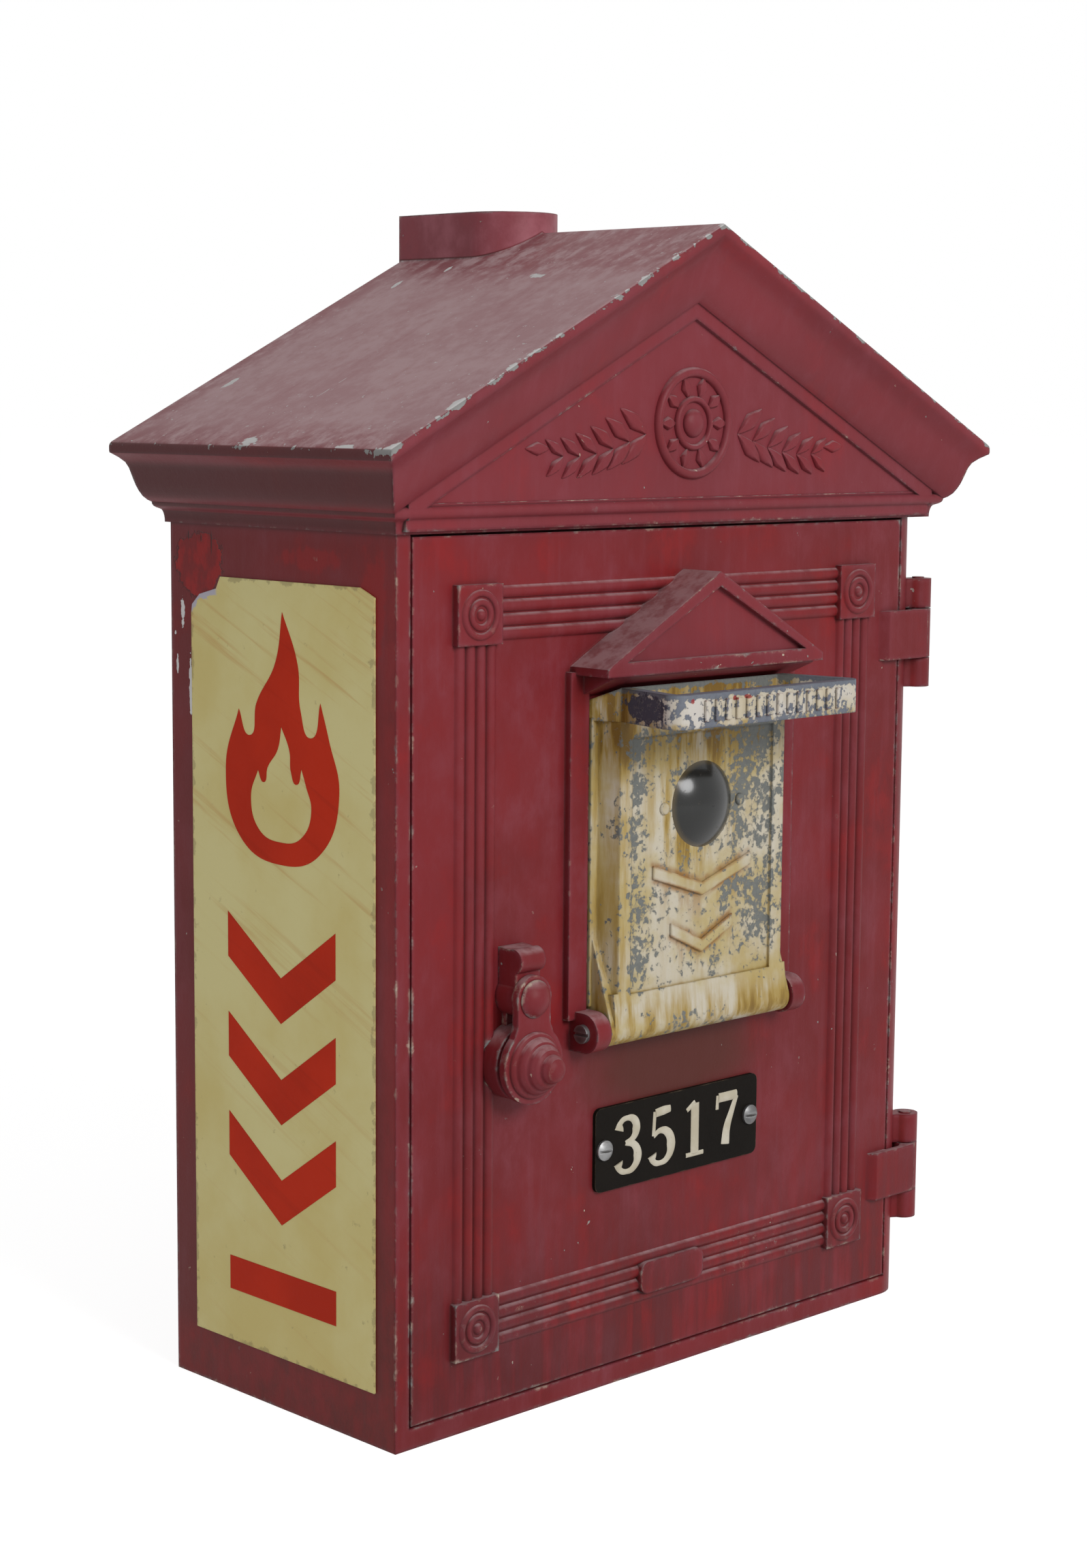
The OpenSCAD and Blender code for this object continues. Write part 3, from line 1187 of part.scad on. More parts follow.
// Test key
key_half = 17;
key_bar = 4;
key_base_t = 4;
key_pin_r = 1.5;
cheek_t = 3;
key_y = plate_y - key_base_t - 4 - key_bar / 2;
key_knob_x = key_x + 13;
cheek_z = key_bar / 2 + 0.4;
module key_base() color("saddlebrown") difference() {
  union() {
    box([key_x - key_half, plate_y - key_base_t, key_z - 7], [key_x + key_half, plate_y, key_z + 7]);
    for (z = [-cheek_z - cheek_t, cheek_z]) box([key_x - 3.5, key_y - 3.5, key_z + z],
      [key_x + 3.5, plate_y - key_base_t + bite, key_z + z + cheek_t]);
  }
  rod_z(key_x, key_y, key_z - 9, key_z + 9, key_pin_r + seat);
}
module key_lever() color(brass) difference() {
  union() {
    box([key_x - 15, key_y - key_bar / 2, key_z - key_bar / 2],
      [key_x + 15, key_y + key_bar / 2, key_z + key_bar / 2]);
    turned_y(key_knob_x, key_y - key_bar / 2 + bite, key_z)
      polygon([[0, 0], [2, 0], [2, bite + 3], [6, bite + 4], [6, bite + 6.4], [5, bite + 7], [0, bite + 7]]);
  }
  rod_z(key_x, key_y, key_z - 9, key_z + 9, key_pin_r + run_fit);
}
module key_pin() color(steel)
  rod_z(key_x, key_y, key_z - cheek_z - cheek_t, key_z + cheek_z + cheek_t, key_pin_r);

// Line terminals on the back wall under the conduit hub
terminal_pitch = 18;
binding_r = 2;
binding_deep = 8;
module terminal_block() color("ivory") difference() {
  union() {
    box([-terminal_w / 2, inside_back - terminal_t, terminal_z - terminal_h / 2],
      [terminal_w / 2, inside_back, terminal_z + terminal_h / 2]);
    for (s = [-1, 1]) rod_y(s * terminal_stud_x, terminal_z, inside_back - join,
      inside_back + terminal_stud - end_gap, terminal_stud_r);
  }
  for (i = [0 : post_count - 1]) rod_y((i - (post_count - 1) / 2) * terminal_pitch, terminal_z,
    inside_back - terminal_t - bite, inside_back - terminal_t + binding_deep, binding_r + seat);
}
module binding_posts() color(brass) for (i = [0 : post_count - 1]) {
  x = (i - (post_count - 1) / 2) * terminal_pitch;
  y = inside_back - terminal_t;
  rod_y(x, terminal_z, y - 9, y + binding_deep - end_gap, binding_r);
  rod_y(x, terminal_z, y - 1.5, y, binding_r + 3);
  rod_y(x, terminal_z, y - 6.5, y - 3, binding_r + 2.5);
}

case();
door_hinge_pins();
door();
pull_door();
pull_door_pin();
pull_door_spring();
lens();
lens_ring();
lens_rivets();
number_plate();
number_plate_screws();
lock_boss();
keyhole_cover();
keyhole_cover_pin();
lock_plug();
lock_case();
lock_case_screws();
lock_bolt();
lock_keeper();
side_sign();
movement_posts();
movement_back_plate();
movement_pillars();
movement_front_plate();
front_plate_screws();
pull_lever();
lever_arbor();
lever_sector();
lever_spring();
main_arbor();
winding_pinion();
main_wheel();
spring_barrel();
mainspring();
second_arbor();
second_pinion();
second_wheel();
code_wheel();
governor_arbor();
governor_pinion();
governor_fan();
contact_block();
contact_springs();
magnet_yoke();
magnet_coils();
bell_hammer();
hammer_post();
gong();
gong_post();
key_base();
key_lever();
key_pin();
terminal_block();
binding_posts();
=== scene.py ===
"""Looks of the street fire alarm box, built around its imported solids. Metres, +Z up, the door faces -Y."""
import json
from functools import reduce
from math import pi, radians, sin
from types import SimpleNamespace

import bmesh
import bpy
from mathutils import Matrix, Vector


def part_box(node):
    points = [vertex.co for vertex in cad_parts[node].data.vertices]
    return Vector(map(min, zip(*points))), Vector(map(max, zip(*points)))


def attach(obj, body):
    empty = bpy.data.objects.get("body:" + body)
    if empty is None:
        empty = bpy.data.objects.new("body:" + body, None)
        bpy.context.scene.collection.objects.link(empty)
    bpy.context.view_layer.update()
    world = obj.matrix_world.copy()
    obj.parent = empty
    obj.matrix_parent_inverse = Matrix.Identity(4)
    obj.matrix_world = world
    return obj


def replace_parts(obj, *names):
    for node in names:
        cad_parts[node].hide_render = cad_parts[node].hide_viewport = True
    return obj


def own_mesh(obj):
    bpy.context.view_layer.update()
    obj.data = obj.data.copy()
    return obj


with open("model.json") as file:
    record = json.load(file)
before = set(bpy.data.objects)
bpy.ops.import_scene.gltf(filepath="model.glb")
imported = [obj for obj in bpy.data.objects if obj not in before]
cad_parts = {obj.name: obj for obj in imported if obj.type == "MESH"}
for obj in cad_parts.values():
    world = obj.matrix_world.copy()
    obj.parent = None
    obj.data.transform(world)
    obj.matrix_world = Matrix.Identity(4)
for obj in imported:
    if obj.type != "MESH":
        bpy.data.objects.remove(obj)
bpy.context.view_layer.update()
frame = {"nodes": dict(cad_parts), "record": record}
nodes = frame["nodes"]
MM = 0.001

# Places that the pieces take from the solids
DOOR_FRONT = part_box("door")[0].y
PULL_LOW, PULL_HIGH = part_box("pull_door")
PLATE_LOW, PLATE_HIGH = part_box("number_plate")
SIGN_LOW, SIGN_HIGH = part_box("side_sign")
LENS_LOW, LENS_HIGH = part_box("lens")
COVER_LOW, COVER_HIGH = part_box("keyhole_cover")
LENS_MIDDLE = (LENS_LOW + LENS_HIGH) / 2
COVER_MIDDLE = (COVER_LOW + COVER_HIGH) / 2
SIGN_MIDDLE = (SIGN_LOW + SIGN_HIGH) / 2

# Heights of the cast case, and planes of its front
CORNICE_Z = 328 * MM
GABLE_FACE = -67.8 * MM
PANEL_FACE = -75.4 * MM
HANDLE_FACE = PULL_LOW.y
LEFT_WALL = -144 * MM
RIDGE_Z, EAVE_HALF, ROOF_FRONT, HUB_TOP = 439.02 * MM, 163 * MM, -83 * MM, 447.02 * MM
ROOF_SLOPE = 0.5

# The two chevrons on the pull door: half width, drop of the point, height of the ends
PULL_CHEVRONS = (27 * MM, 9 * MM, 197 * MM), (17 * MM, 8 * MM, 174 * MM)
CHEVRON_BAND = 5 * MM


def shade(red, green, blue):
    """A colour as a screen shows it, 0 to 255, as the linear colour that a shader takes."""
    def linear(c):
        c /= 255
        return c / 12.92 if c <= 0.04045 else ((c + 0.055) / 1.055) ** 2.4
    return linear(red), linear(green), linear(blue), 1.0


class Value:
    """An output socket in a node tree. Arithmetic on it adds Math nodes."""

    def __init__(self, owner, socket):
        self.owner, self.socket = owner, socket

    def maths(self, operation, first, second):
        return self.owner.node("Math", {"operation": operation}, {0: first, 1: second})

    def __add__(self, other):
        return self.maths("ADD", self, other)

    def __sub__(self, other):
        return self.maths("SUBTRACT", self, other)

    def __rsub__(self, other):
        return self.maths("SUBTRACT", other, self)

    def __mul__(self, other):
        return self.maths("MULTIPLY", self, other)

    __radd__, __rmul__ = __add__, __mul__

    def most(self, other):
        return self.maths("MAXIMUM", self, other)

    def size(self):
        return self.maths("ABSOLUTE", self, 0)

    def step(self, low, high):
        """0 below low, 1 above high and a smooth rise between; low above high turns it round."""
        return self.owner.node("MapRange", {"interpolation_type": "SMOOTHSTEP"},
                               {"Value": self, "From Min": low, "From Max": high})


class Nodes:
    """A node tree, and the one way to add a node to it."""

    def __init__(self, tree):
        self.tree = tree

    def node(self, kind, settings=None, sockets=None, out=0):
        made = self.tree.nodes.new("ShaderNode" + kind)
        for key, value in (settings or {}).items():
            setattr(made, key, value)
        for key, value in (sockets or {}).items():
            self.plug(made.inputs[key], value)
        return Value(self, made.outputs[out])

    def plug(self, socket, value):
        if isinstance(value, Value):
            self.tree.links.new(value.socket, socket)
        else:
            socket.default_value = value

    def seen_directly(self):
        """1 for a ray from the camera, a mirror or glass, which sees the white studio itself."""
        camera, glossy, glass = (self.node("LightPath", out=f"Is {ray} Ray")
                                 for ray in ("Camera", "Glossy", "Transmission"))
        return camera.most(glossy).most(glass)


class Finish(Nodes):
    """A node material for one of the box's finishes."""

    def __init__(self, name):
        self.material = bpy.data.materials.new(name)
        self.material.use_nodes = True
        super().__init__(self.material.node_tree)
        self.shader = self.tree.nodes["Principled BSDF"]
        self.place = self.node("TexCoord", out="Object")
        self.facing = self.node("TexCoord", out="Normal")

    def along(self, axis, vector=None):
        return self.node("SeparateXYZ", sockets={0: vector or self.place}, out=axis)

    def noise(self, grain, stretch=(1, 1, 1), detail=4, roughness=0.55, shift=0.0, slant=0.0):
        """Cloudy grain, whose size is given in metres; stretch makes it finer along an axis, after a slant
        about X."""
        at = self.place
        if slant:
            at = self.node("VectorRotate", {"rotation_type": "X_AXIS"}, {"Vector": at, "Angle": slant})
        at = self.node("Mapping", sockets={"Vector": at, "Location": (shift, shift, shift), "Scale": stretch})
        return self.node("TexNoise", sockets={"Vector": at, "Scale": 1 / grain, "Detail": detail,
                                              "Roughness": roughness})

    def mix(self, factor, low, high, way="MIX"):
        return self.node("Mix", {"data_type": "RGBA", "blend_type": way}, {0: factor, 6: low, 7: high}, out=2)

    def edge(self, reach):
        """Near 0.5 on an outer edge, 0 at reach from it and on inner corners."""
        return 1 - self.node("AmbientOcclusion", {"inside": True, "only_local": True, "samples": 6},
                             {"Distance": reach}, out="AO")

    def nook(self, reach):
        """Rises in inner corners and grooves."""
        return 1 - self.node("AmbientOcclusion", {"only_local": True, "samples": 6}, {"Distance": reach},
                             out="AO")

    def spot(self, middle, half, rough=None):
        """1 at a place, falling to 0 at the given half sizes from it; rough breaks its outline."""
        away = self.node("VectorMath", {"operation": "SUBTRACT"}, {0: self.place, 1: middle})
        share = self.node("VectorMath", {"operation": "DIVIDE"}, {0: away, 1: half})
        reach = self.node("VectorMath", {"operation": "LENGTH"}, {0: share}, out="Value")
        return (1 - reach) if rough is None else (1 - reach + rough)

    def relief(self, height, depth, rounding):
        """Bumps of a given depth over edges that are rounded in the shading."""
        soft = self.node("Bevel", {"samples": 4}, {"Radius": rounding})
        return self.node("Bump", sockets={"Strength": 1.0, "Distance": depth, "Height": height, "Normal": soft})

    def coat(self, colour, roughness, normal=None, metallic=0.0, **constants):
        for socket, value in (("Base Color", colour), ("Roughness", roughness), ("Metallic", metallic),
                              ("Normal", normal)):
            if value is not None:
                self.plug(self.shader.inputs[socket], value)
        for socket, value in constants.items():
            self.shader.inputs[socket.replace("_", " ")].default_value = value
        return self.material


# Paint colours, and how much the old paint shines
WHITE = (1, 1, 1, 1)
CRIMSON, DEEP_RED, BRIGHT_RED = shade(111, 28, 32), shade(98, 25, 28), shade(130, 27, 28)
MAUVE, DUST, PAINTED_SHADE = shade(118, 56, 65), shade(161, 133, 135), shade(40, 22, 20)
DARK_BROWN, DULL_BROWN = shade(72, 34, 26), shade(48, 25, 23)
METAL_GREY, PALE_PRIMER, BARE_WHITE = shade(128, 127, 125), shade(178, 160, 144), shade(204, 201, 200)
DULL_SHINE, PAINT_DEPTH = 0.16, 0.2 * MM

# Single marks in the paint, in mm
WALL_CRACKS = (53.1, 323.4, 2.4), (45.4, 322.7, 1.8), (39.3, 321, 5.6)  # back, up, half length
# back, up, half width, half height
WALL_SCRAPES = (57, 296, 1.6, 8.5), (52.3, 268, 1.3, 16), (61.6, 286.7, 1, 1.4), (60.5, 276, 0.8, 6)
ROOF_MARKS = ((-37.4, -22.2, 2.4, 4.5), (-119, 59.6, 6, 1.8), (-40.6, 54, 3.6, 1.5), (-29, 37, 3.6, 1.5),
              (-159.8, -3.6, 3.5, 5), (-162.2, -58.7, 1.8, 6))  # across, back, half length, half width
HANDLE_DABS = (-43.7, 1.2), (-21.4, 1.4), (-14.4, 2.4)  # across, half width


def red_layers(f, reach):
    """Old crimson enamel on a casting: mauve bloom, painted edge highlights, brush lines, painted shade in
    corners, sparse chips on edges.
    """
    haze = f.noise(0.034, (1, 1, 0.8), 6, 0.6, 3.7)
    mottle = f.noise(0.006, (1, 1, 0.6), 6, 0.65, 2.3)
    brushed = f.noise(0.006, (1, 1, 0.09), 4, 0.6, 1.1)
    grain = f.noise(0.0011, detail=2)
    flake = f.noise(0.0046, detail=6, roughness=0.62, shift=1.3)
    sparse = f.noise(0.05, detail=2, shift=5.1)
    edge, nook = f.edge(reach), f.nook(9 * MM)
    colour = f.mix(f.noise(0.085, detail=3).step(0.36, 0.64), DEEP_RED, CRIMSON)
    colour = f.mix(haze.step(0.48, 0.32) * mottle.step(0.34, 0.58) * 0.5, colour, BRIGHT_RED)
    bloom = haze.step(0.36, 0.74) * (0.22 + 0.34 * mottle.step(0.36, 0.64)) + brushed.step(0.48, 0.74) * 0.24
    # Mauve bloom, and a painted highlight along outer edges
    colour = f.mix(bloom + edge.step(0.10, 0.45) * 0.28, colour, MAUVE)
    # Painted shade in inner corners and grooves
    colour = f.mix(nook.step(0.28, 0.80) * 0.65, colour, PAINTED_SHADE)
    cover = f.spot(COVER_MIDDLE, (24 * MM, 24 * MM, 40 * MM)).step(0.0, 0.4)
    knocked = (f.along("Z").step(96 * MM, 60 * MM) * 0.035).most(cover * 0.06)
    chip = (edge * 0.55 + flake + sparse * 0.35 + knocked).step(1.06, 1.08)
    chip = chip.most(f.noise(0.0034, detail=2, shift=5.1).step(0.735, 0.755) * sparse.step(0.5, 0.62))
    bare = f.mix(f.noise(0.012, shift=2.2).step(0.45, 0.6), METAL_GREY, PALE_PRIMER)
    height = grain * 0.22 + brushed * 0.25 + mottle * 0.25 + haze * 0.3 - chip * 0.55
    return SimpleNamespace(colour=colour, haze=haze, mottle=mottle, brushed=brushed, grain=grain, flake=flake,
                           sparse=sparse, chip=chip, bare=bare, height=height)


def red_finish(name, reach):
    """The enamel of the door and its fittings, dusty on top, with a brown stain and painted shadow under the
    pull door and painted shade towards the bottom.
    """
    f = Finish(name)
    paint = red_layers(f, reach)
    # Brown stain under the pull door, partly its painted shadow
    soot_and_shade = f.spot((0, DOOR_FRONT, 124 * MM), (58 * MM, 40 * MM, 26 * MM), paint.haze * 0.6)
    y, z = f.along("Y"), f.along("Z")
    hood = z.step(262 * MM, 280 * MM) * y.step(-74 * MM, -80 * MM)
    gable = z.step(CORNICE_Z, CORNICE_Z + 6 * MM)
    colour = f.mix(hood.most(gable) * 0.3, paint.colour, MAUVE)
    outside = f.along("Y", f.facing).step(0.5, 0.0)
    colour = f.mix(soot_and_shade.step(0.1, 0.7) * outside * 0.85, colour, DARK_BROWN)
    # Painted shade towards the bottom, broken up by the brush lines
    colour = f.mix(z.step(104 * MM, 10 * MM) * paint.brushed.step(0.34, 0.62) * 0.42, colour, PAINTED_SHADE)
    dust = f.along("Z", f.facing).step(0.45, 0.9) * (0.25 + 0.35 * paint.mottle.step(0.35, 0.6))
    colour = f.mix(dust, colour, DUST)
    colour = f.mix(paint.chip, colour, paint.bare)
    roughness = 0.40 + 0.12 * paint.grain + 0.2 * dust + 0.15 * paint.chip
    normal = f.relief(paint.height, PAINT_DEPTH, min(1.3 * MM, reach))
    return f.coat(colour, roughness, normal, Specular_IOR_Level=DULL_SHINE)


def casting_finish():
    """The enamel of the case, with a chalky roof and the marks on its left wall."""
    f = Finish("crimson_casting")
    x, y, z = (f.along(axis) for axis in "XYZ")
    paint = red_layers(f, 2.6 * MM)
    flake = paint.flake
    drop = RIDGE_Z - x.size() * ROOF_SLOPE - z
    top = (drop.size().step(0.5 * MM, 0.25 * MM)).most(z.step(HUB_TOP - 0.4 * MM, HUB_TOP - 0.2 * MM))

    # Bloom on the gable and the hub; the left side darker and browner, more so towards the bottom and at the
    # cornice
    hub = drop.step(-0.5 * MM, -1.2 * MM) * (1 - top)
    colour = f.mix(z.step(CORNICE_Z - 6 * MM, CORNICE_Z + 2 * MM) * 0.35, paint.colour, MAUVE)
    colour = f.mix(hub * (0.35 + 0.6 * paint.haze.step(0.40, 0.58)), colour, shade(146, 84, 93))
    side = f.along("X", f.facing).step(-0.6, -0.9) * (1 - hub)
    colour = f.mix(side * (0.12 + 0.3 * z.step(180 * MM, 20 * MM)), colour, DARK_BROWN)
    colour = f.mix(side * z.step(CORNICE_Z - 2 * MM, CORNICE_Z + 2 * MM) * 0.6, colour, DULL_BROWN)

    def on_wall(back, up, wide, tall, rough):
        return f.spot((LEFT_WALL, back * MM, up * MM), (10 * MM, wide * MM, tall * MM), rough)

    # On the left wall: fresher red by the front edge, paint peeled off behind the sign with cracks over it,
    # and white scrapes beside it
    fresh = on_wall(-52, 303, 10, 27, paint.mottle * 1.6 - 0.8)
    fresh = fresh.most(on_wall(-18, 318, 24, 6, paint.mottle * 2 - 1))
    strip = (y.step(-54 * MM, -60 * MM) * z.step(318 * MM, 306 * MM)).most(z.step(26 * MM, 15 * MM))
    strip = strip * side * (paint.mottle * 0.5 + paint.haze * 0.5).step(0.36, 0.60)
    colour = f.mix((fresh.step(0.15, 0.5) * 0.7).most(strip * 0.5), colour, BRIGHT_RED)
    torn = on_wall(46.5, 313, 14.5, 13, flake * 0.9 - 0.45)
    peel = torn.step(0.05, 0.08)
    colour = f.mix(peel, colour, f.mix(paint.mottle.step(0.4, 0.6), shade(136, 26, 26), shade(112, 24, 26)))
    crack = torn.step(-0.02, 0.04) * (1 - peel) * 0.6
    thin = 0.45
    lines = (on_wall(back, up, thin, tall, flake * 0.5 - 0.25).step(0.1, 0.4) for back, up, tall in WALL_CRACKS)
    crack = reduce(Value.most, lines, crack)
    colour = f.mix(crack * 0.8, colour, shade(30, 14, 14))
    scrape = reduce(Value.most, (on_wall(*mark, flake * 2.6 - 1.3).step(0.2, 0.28) for mark in WALL_SCRAPES))

    # On the roof: chalky dust that lets the red through, runs down the slope, specks, scratches and worn edges
    runs = f.noise(0.011, (0.35, 1.4, 0.35), 5, 0.6, 8.1)
    open_roof = (paint.haze * 0.5 + paint.mottle * 0.5).step(0.62, 0.40)
    rubbed = x.size().step(EAVE_HALF - 20 * MM, EAVE_HALF - 4 * MM).most(y.step(58 * MM, 74 * MM))
    rubbed = rubbed.most(x.size().step(48 * MM, 26 * MM)) * (paint.mottle * 0.5 + runs * 0.5).step(0.38, 0.58)
    chalk = top * (0.66 + 0.34 * open_roof) * (1 - runs.step(0.54, 0.74) * 0.22) * (1 - rubbed * 0.72)
    colour = f.mix(chalk, colour, DUST)
    patchy = f.noise(0.0075, detail=7, roughness=0.62, shift=6.6)
    rake, eave = y.step(ROOF_FRONT + 5 * MM, ROOF_FRONT), x.size().step(EAVE_HALF - 5 * MM, EAVE_HALF)
    stripped = f.spot((-118 * MM, ROOF_FRONT, 380 * MM), (36 * MM, 9 * MM, 26 * MM)).step(0.0, 0.3)
    worn = (rake * 0.17 + eave * 0.14 + stripped * 0.05) * drop.step(3.2 * MM, 0.6 * MM)
    worn = (worn + patchy).step(0.685, 0.70) * rake.most(eave).step(0.1, 0.3)
    speck = f.noise(0.0021, detail=2, shift=2.9).step(0.70, 0.73) * paint.sparse.step(0.40, 0.58)
    scratch = f.noise(0.008, (0.15, 3, 0.15), 2, shift=9.4).step(0.73, 0.75) * flake.step(0.46, 0.58)
    white = (speck.most(scratch) * top * 0.7).most(worn).most(scrape)
    for across, back, long, wide in ROOF_MARKS:
        at = (across * MM, back * MM, RIDGE_Z + across * ROOF_SLOPE * MM)
        mark = f.spot(at, (long * MM, wide * MM, 9 * MM), flake * 2.4 - 1.2)
        white = white.most(mark.step(0.15, 0.3) * top)
    colour = f.mix(paint.chip * (1 - top), colour, paint.bare)
    colour = f.mix(white, colour, f.mix(top * 0.7 + scrape, METAL_GREY, BARE_WHITE))
    lost = paint.chip.most(white)
    height = paint.height - white * 0.5 - peel * 0.5 - crack * 0.4
    roughness = 0.40 + 0.12 * paint.grain + 0.25 * chalk + 0.15 * lost
    return f.coat(colour, roughness, f.relief(height, PAINT_DEPTH, 2.4 * MM), Specular_IOR_Level=DULL_SHINE)


def cream_finish(name, reach, rusty=0.0):
    """Flaking cream enamel on the pull door, stained ochre, worn to grey metal, with rust round its relief."""
    f = Finish(name)
    x, y, z = (f.along(axis) for axis in "XYZ")
    cloud = f.noise(0.024, detail=5, shift=4.0)
    run = f.noise(0.006, (1, 1, 0.14), 5, 0.6, shift=2.0)
    flake = f.noise(0.0025, detail=7, roughness=0.62, shift=6.4)
    clump = f.noise(0.012, detail=4, shift=9.2)
    fine = f.noise(0.0011, detail=3)
    edge, nook = f.edge(reach), f.nook(7 * MM)
    ochre, umber = shade(150, 125, 62), shade(104, 76, 28)
    arm = y.step(-82 * MM, -88 * MM)
    white = f.mix(arm, shade(182, 175, 159), shade(184, 179, 172))
    colour = f.mix(cloud.step(0.36, 0.60) * (1 - 0.5 * arm), white, shade(168, 152, 108))

    # Rain stains at the foot, on the left cheek, under the handle and round the lens, and the handle's painted
    # shadow on the panel
    foot = z.step(160 * MM, 138 * MM)
    left = x.step(-33 * MM, -44 * MM) * (1 - arm)
    under = z.step(232 * MM, 256 * MM) * (1 - arm) + z.step(260.5 * MM, 258.5 * MM) * arm
    halo = f.spot((-4 * MM, PANEL_FACE, LENS_MIDDLE.z), (34 * MM, 20 * MM, 36 * MM)).step(0.0, 0.6)
    wet = 0.30 + 0.8 * foot + 0.45 * left + 1.2 * under + 0.8 * halo
    stain = run.step(0.30, 0.66) * wet * (1 - 0.5 * arm) + nook.step(0.22, 0.7) * 0.75
    colour = f.mix(stain.step(0.0, 1.0), colour, ochre)
    colour = f.mix((stain * run).step(0.38, 0.80) * 0.8, colour, umber)
    # Painted shadow of the handle on the panel below it
    colour = f.mix(under * (1 - arm) * 0.3, colour, umber)

    # Paint lost on the right, by the left margin and on the handle, most of all along its crest
    right = x.step(2 * MM, 30 * MM) * z.step(160 * MM, 172 * MM) * (1 - arm)
    margin = x.step(-26 * MM, -35 * MM) * x.step(-44 * MM, -40 * MM) * (1 - arm)
    crest = z.step(267.4 * MM, 269.6 * MM)
    behind = z.step(240 * MM, 250 * MM) * (1 - arm)
    rubbed = 0.075 * right + 0.07 * margin + 0.08 * arm + 0.15 * crest + 0.03 * behind - 0.05 * foot
    worn = flake * 0.75 + clump * 0.45 + edge * 0.15 + rubbed
    bare = worn.step(0.722, 0.732)
    patch = f.spot((-49 * MM, -91 * MM, 263.8 * MM), (9 * MM, 15 * MM, 6 * MM), flake * 1.3 - 0.65)
    patch = patch.step(0.12, 0.17)

    # Rust round the chevrons and weeping from them
    panel = y.step(PANEL_FACE + 1.5 * MM, PANEL_FACE + 0.8 * MM) * (1 - arm)
    for half, drop, up in PULL_CHEVRONS:
        over = z - (up - drop + CHEVRON_BAND / 2) - x.size() * (drop / half)
        near = x.size().step(half + 2 * MM, half - 1 * MM) * panel
        rust = over.size().step(5.4 * MM, 3 * MM) * over.size().step(1.2 * MM, 2.4 * MM)
        rust = rust * (0.25 + 0.6 * clump.step(0.36, 0.56))
        weep = over.step(-16 * MM, -3 * MM) * over.step(-1 * MM, -3 * MM) * run.step(0.46, 0.66) * 0.5
        colour = f.mix(rust.most(weep) * near, colour, shade(134, 92, 42))

    # Bare metal with a pale rim of lifted paint, and dabs of red on the handle
    dark_metal = f.mix(arm, shade(88, 90, 88), shade(84, 88, 98))
    light_metal = f.mix(arm, shade(120, 122, 118), shade(116, 120, 128))
    colour = f.mix(bare, colour, f.mix(fine, dark_metal, light_metal))
    colour = f.mix(patch, colour, shade(66, 66, 78))
    rim = worn.step(0.705, 0.722) * (1 - bare)
    colour = f.mix(rim * 0.35, colour, white)
    for across, wide in HANDLE_DABS:
        dab = f.spot((across * MM, HANDLE_FACE, 267.6 * MM), (wide * MM, 3 * MM, 1.1 * MM), flake * 1.2 - 0.6)
        colour = f.mix(dab.step(0.2, 0.35) * 0.85, colour, shade(140, 36, 36))
    if rusty:
        colour = f.mix(edge.step(0.10, 0.45) * clump.step(0.30, 0.50) * rusty, colour, shade(132, 72, 42))

    lost = bare.most(patch)
    height = fine * 0.2 + cloud * 0.3 - lost * 0.7 + rim * 0.2
    roughness = 0.42 + 0.18 * fine + 0.10 * lost
    return f.coat(colour, roughness, f.relief(height, PAINT_DEPTH, min(1.2 * MM, reach)), 0.3 * bare,
                  Specular_IOR_Level=0.22)


def lens_finish():
    """Dark dome glass, a little hazy, with dust at its foot."""
    f = Finish("dark_lens")
    haze = f.noise(0.012, detail=5)
    dust = f.noise(0.0016, detail=2).step(0.62, 0.75)
    away = f.spot((0, LENS_LOW.y, LENS_MIDDLE.z), (17 * MM, 30 * MM, 17 * MM))
    colour = f.mix(haze, shade(20, 21, 21), shade(34, 34, 32))
    colour = f.mix(away.step(0.14, 0.0) * 0.6 + dust * 0.08, colour, shade(96, 82, 54))
    return f.coat(colour, 0.16 + 0.10 * haze + 0.15 * dust, Specular_IOR_Level=0.36, Coat_Weight=0.12,
                  Coat_Roughness=0.06)


def plate_finish():
    """Black enamel plate, a little dusty and rubbed at its rim."""
    f = Finish("black_enamel")
    cloud, fine = f.noise(0.02, detail=5), f.noise(0.0015, detail=3)
    wear = (f.edge(0.5 * MM) * 0.5 + f.noise(0.006, detail=5)).step(0.74, 0.80)
    colour = f.mix(cloud, shade(13, 11, 9), shade(26, 22, 18))
    colour = f.mix(wear * 0.6, colour, shade(92, 80, 64))
    return f.coat(colour, 0.42 + 0.25 * fine, f.relief(fine, 0.05 * MM, 0.4 * MM), Specular_IOR_Level=0.05)


def numeral_finish():
    """Aged white enamel of the numerals."""
    f = Finish("numeral_enamel")
    cloud, fine = f.noise(0.009, detail=5), f.noise(0.0012, detail=3)
    colour = f.mix(cloud.step(0.35, 0.65), shade(186, 180, 164), shade(170, 162, 142))
    colour = f.mix(fine.step(0.68, 0.76) * 0.5, colour, shade(112, 98, 76))
    return f.coat(colour, 0.42 + 0.2 * fine, f.relief(fine, 0.04 * MM, 0.3 * MM), Specular_IOR_Level=0.25)


def sheet_marks(f):
    """Slanting smears, scuffs and the torn back corner, which run over the sign and its ink alike."""
    slant = radians(-24)
    streak = f.noise(0.016, (1, 0.14, 3.6), 6, 0.62, 2.5, slant).step(0.54, 0.70)
    smear = f.noise(0.013, (1, 1, 1.6), 6, 0.7, 7.3, slant).step(0.66, 0.76)
    smear = smear * f.noise(0.07, shift=1.9).step(0.5, 0.62)
    scuff = f.noise(0.005, (1, 0.6, 2.2), 5, 0.65, 4.4, slant).step(0.735, 0.755)
    return streak, smear, scuff


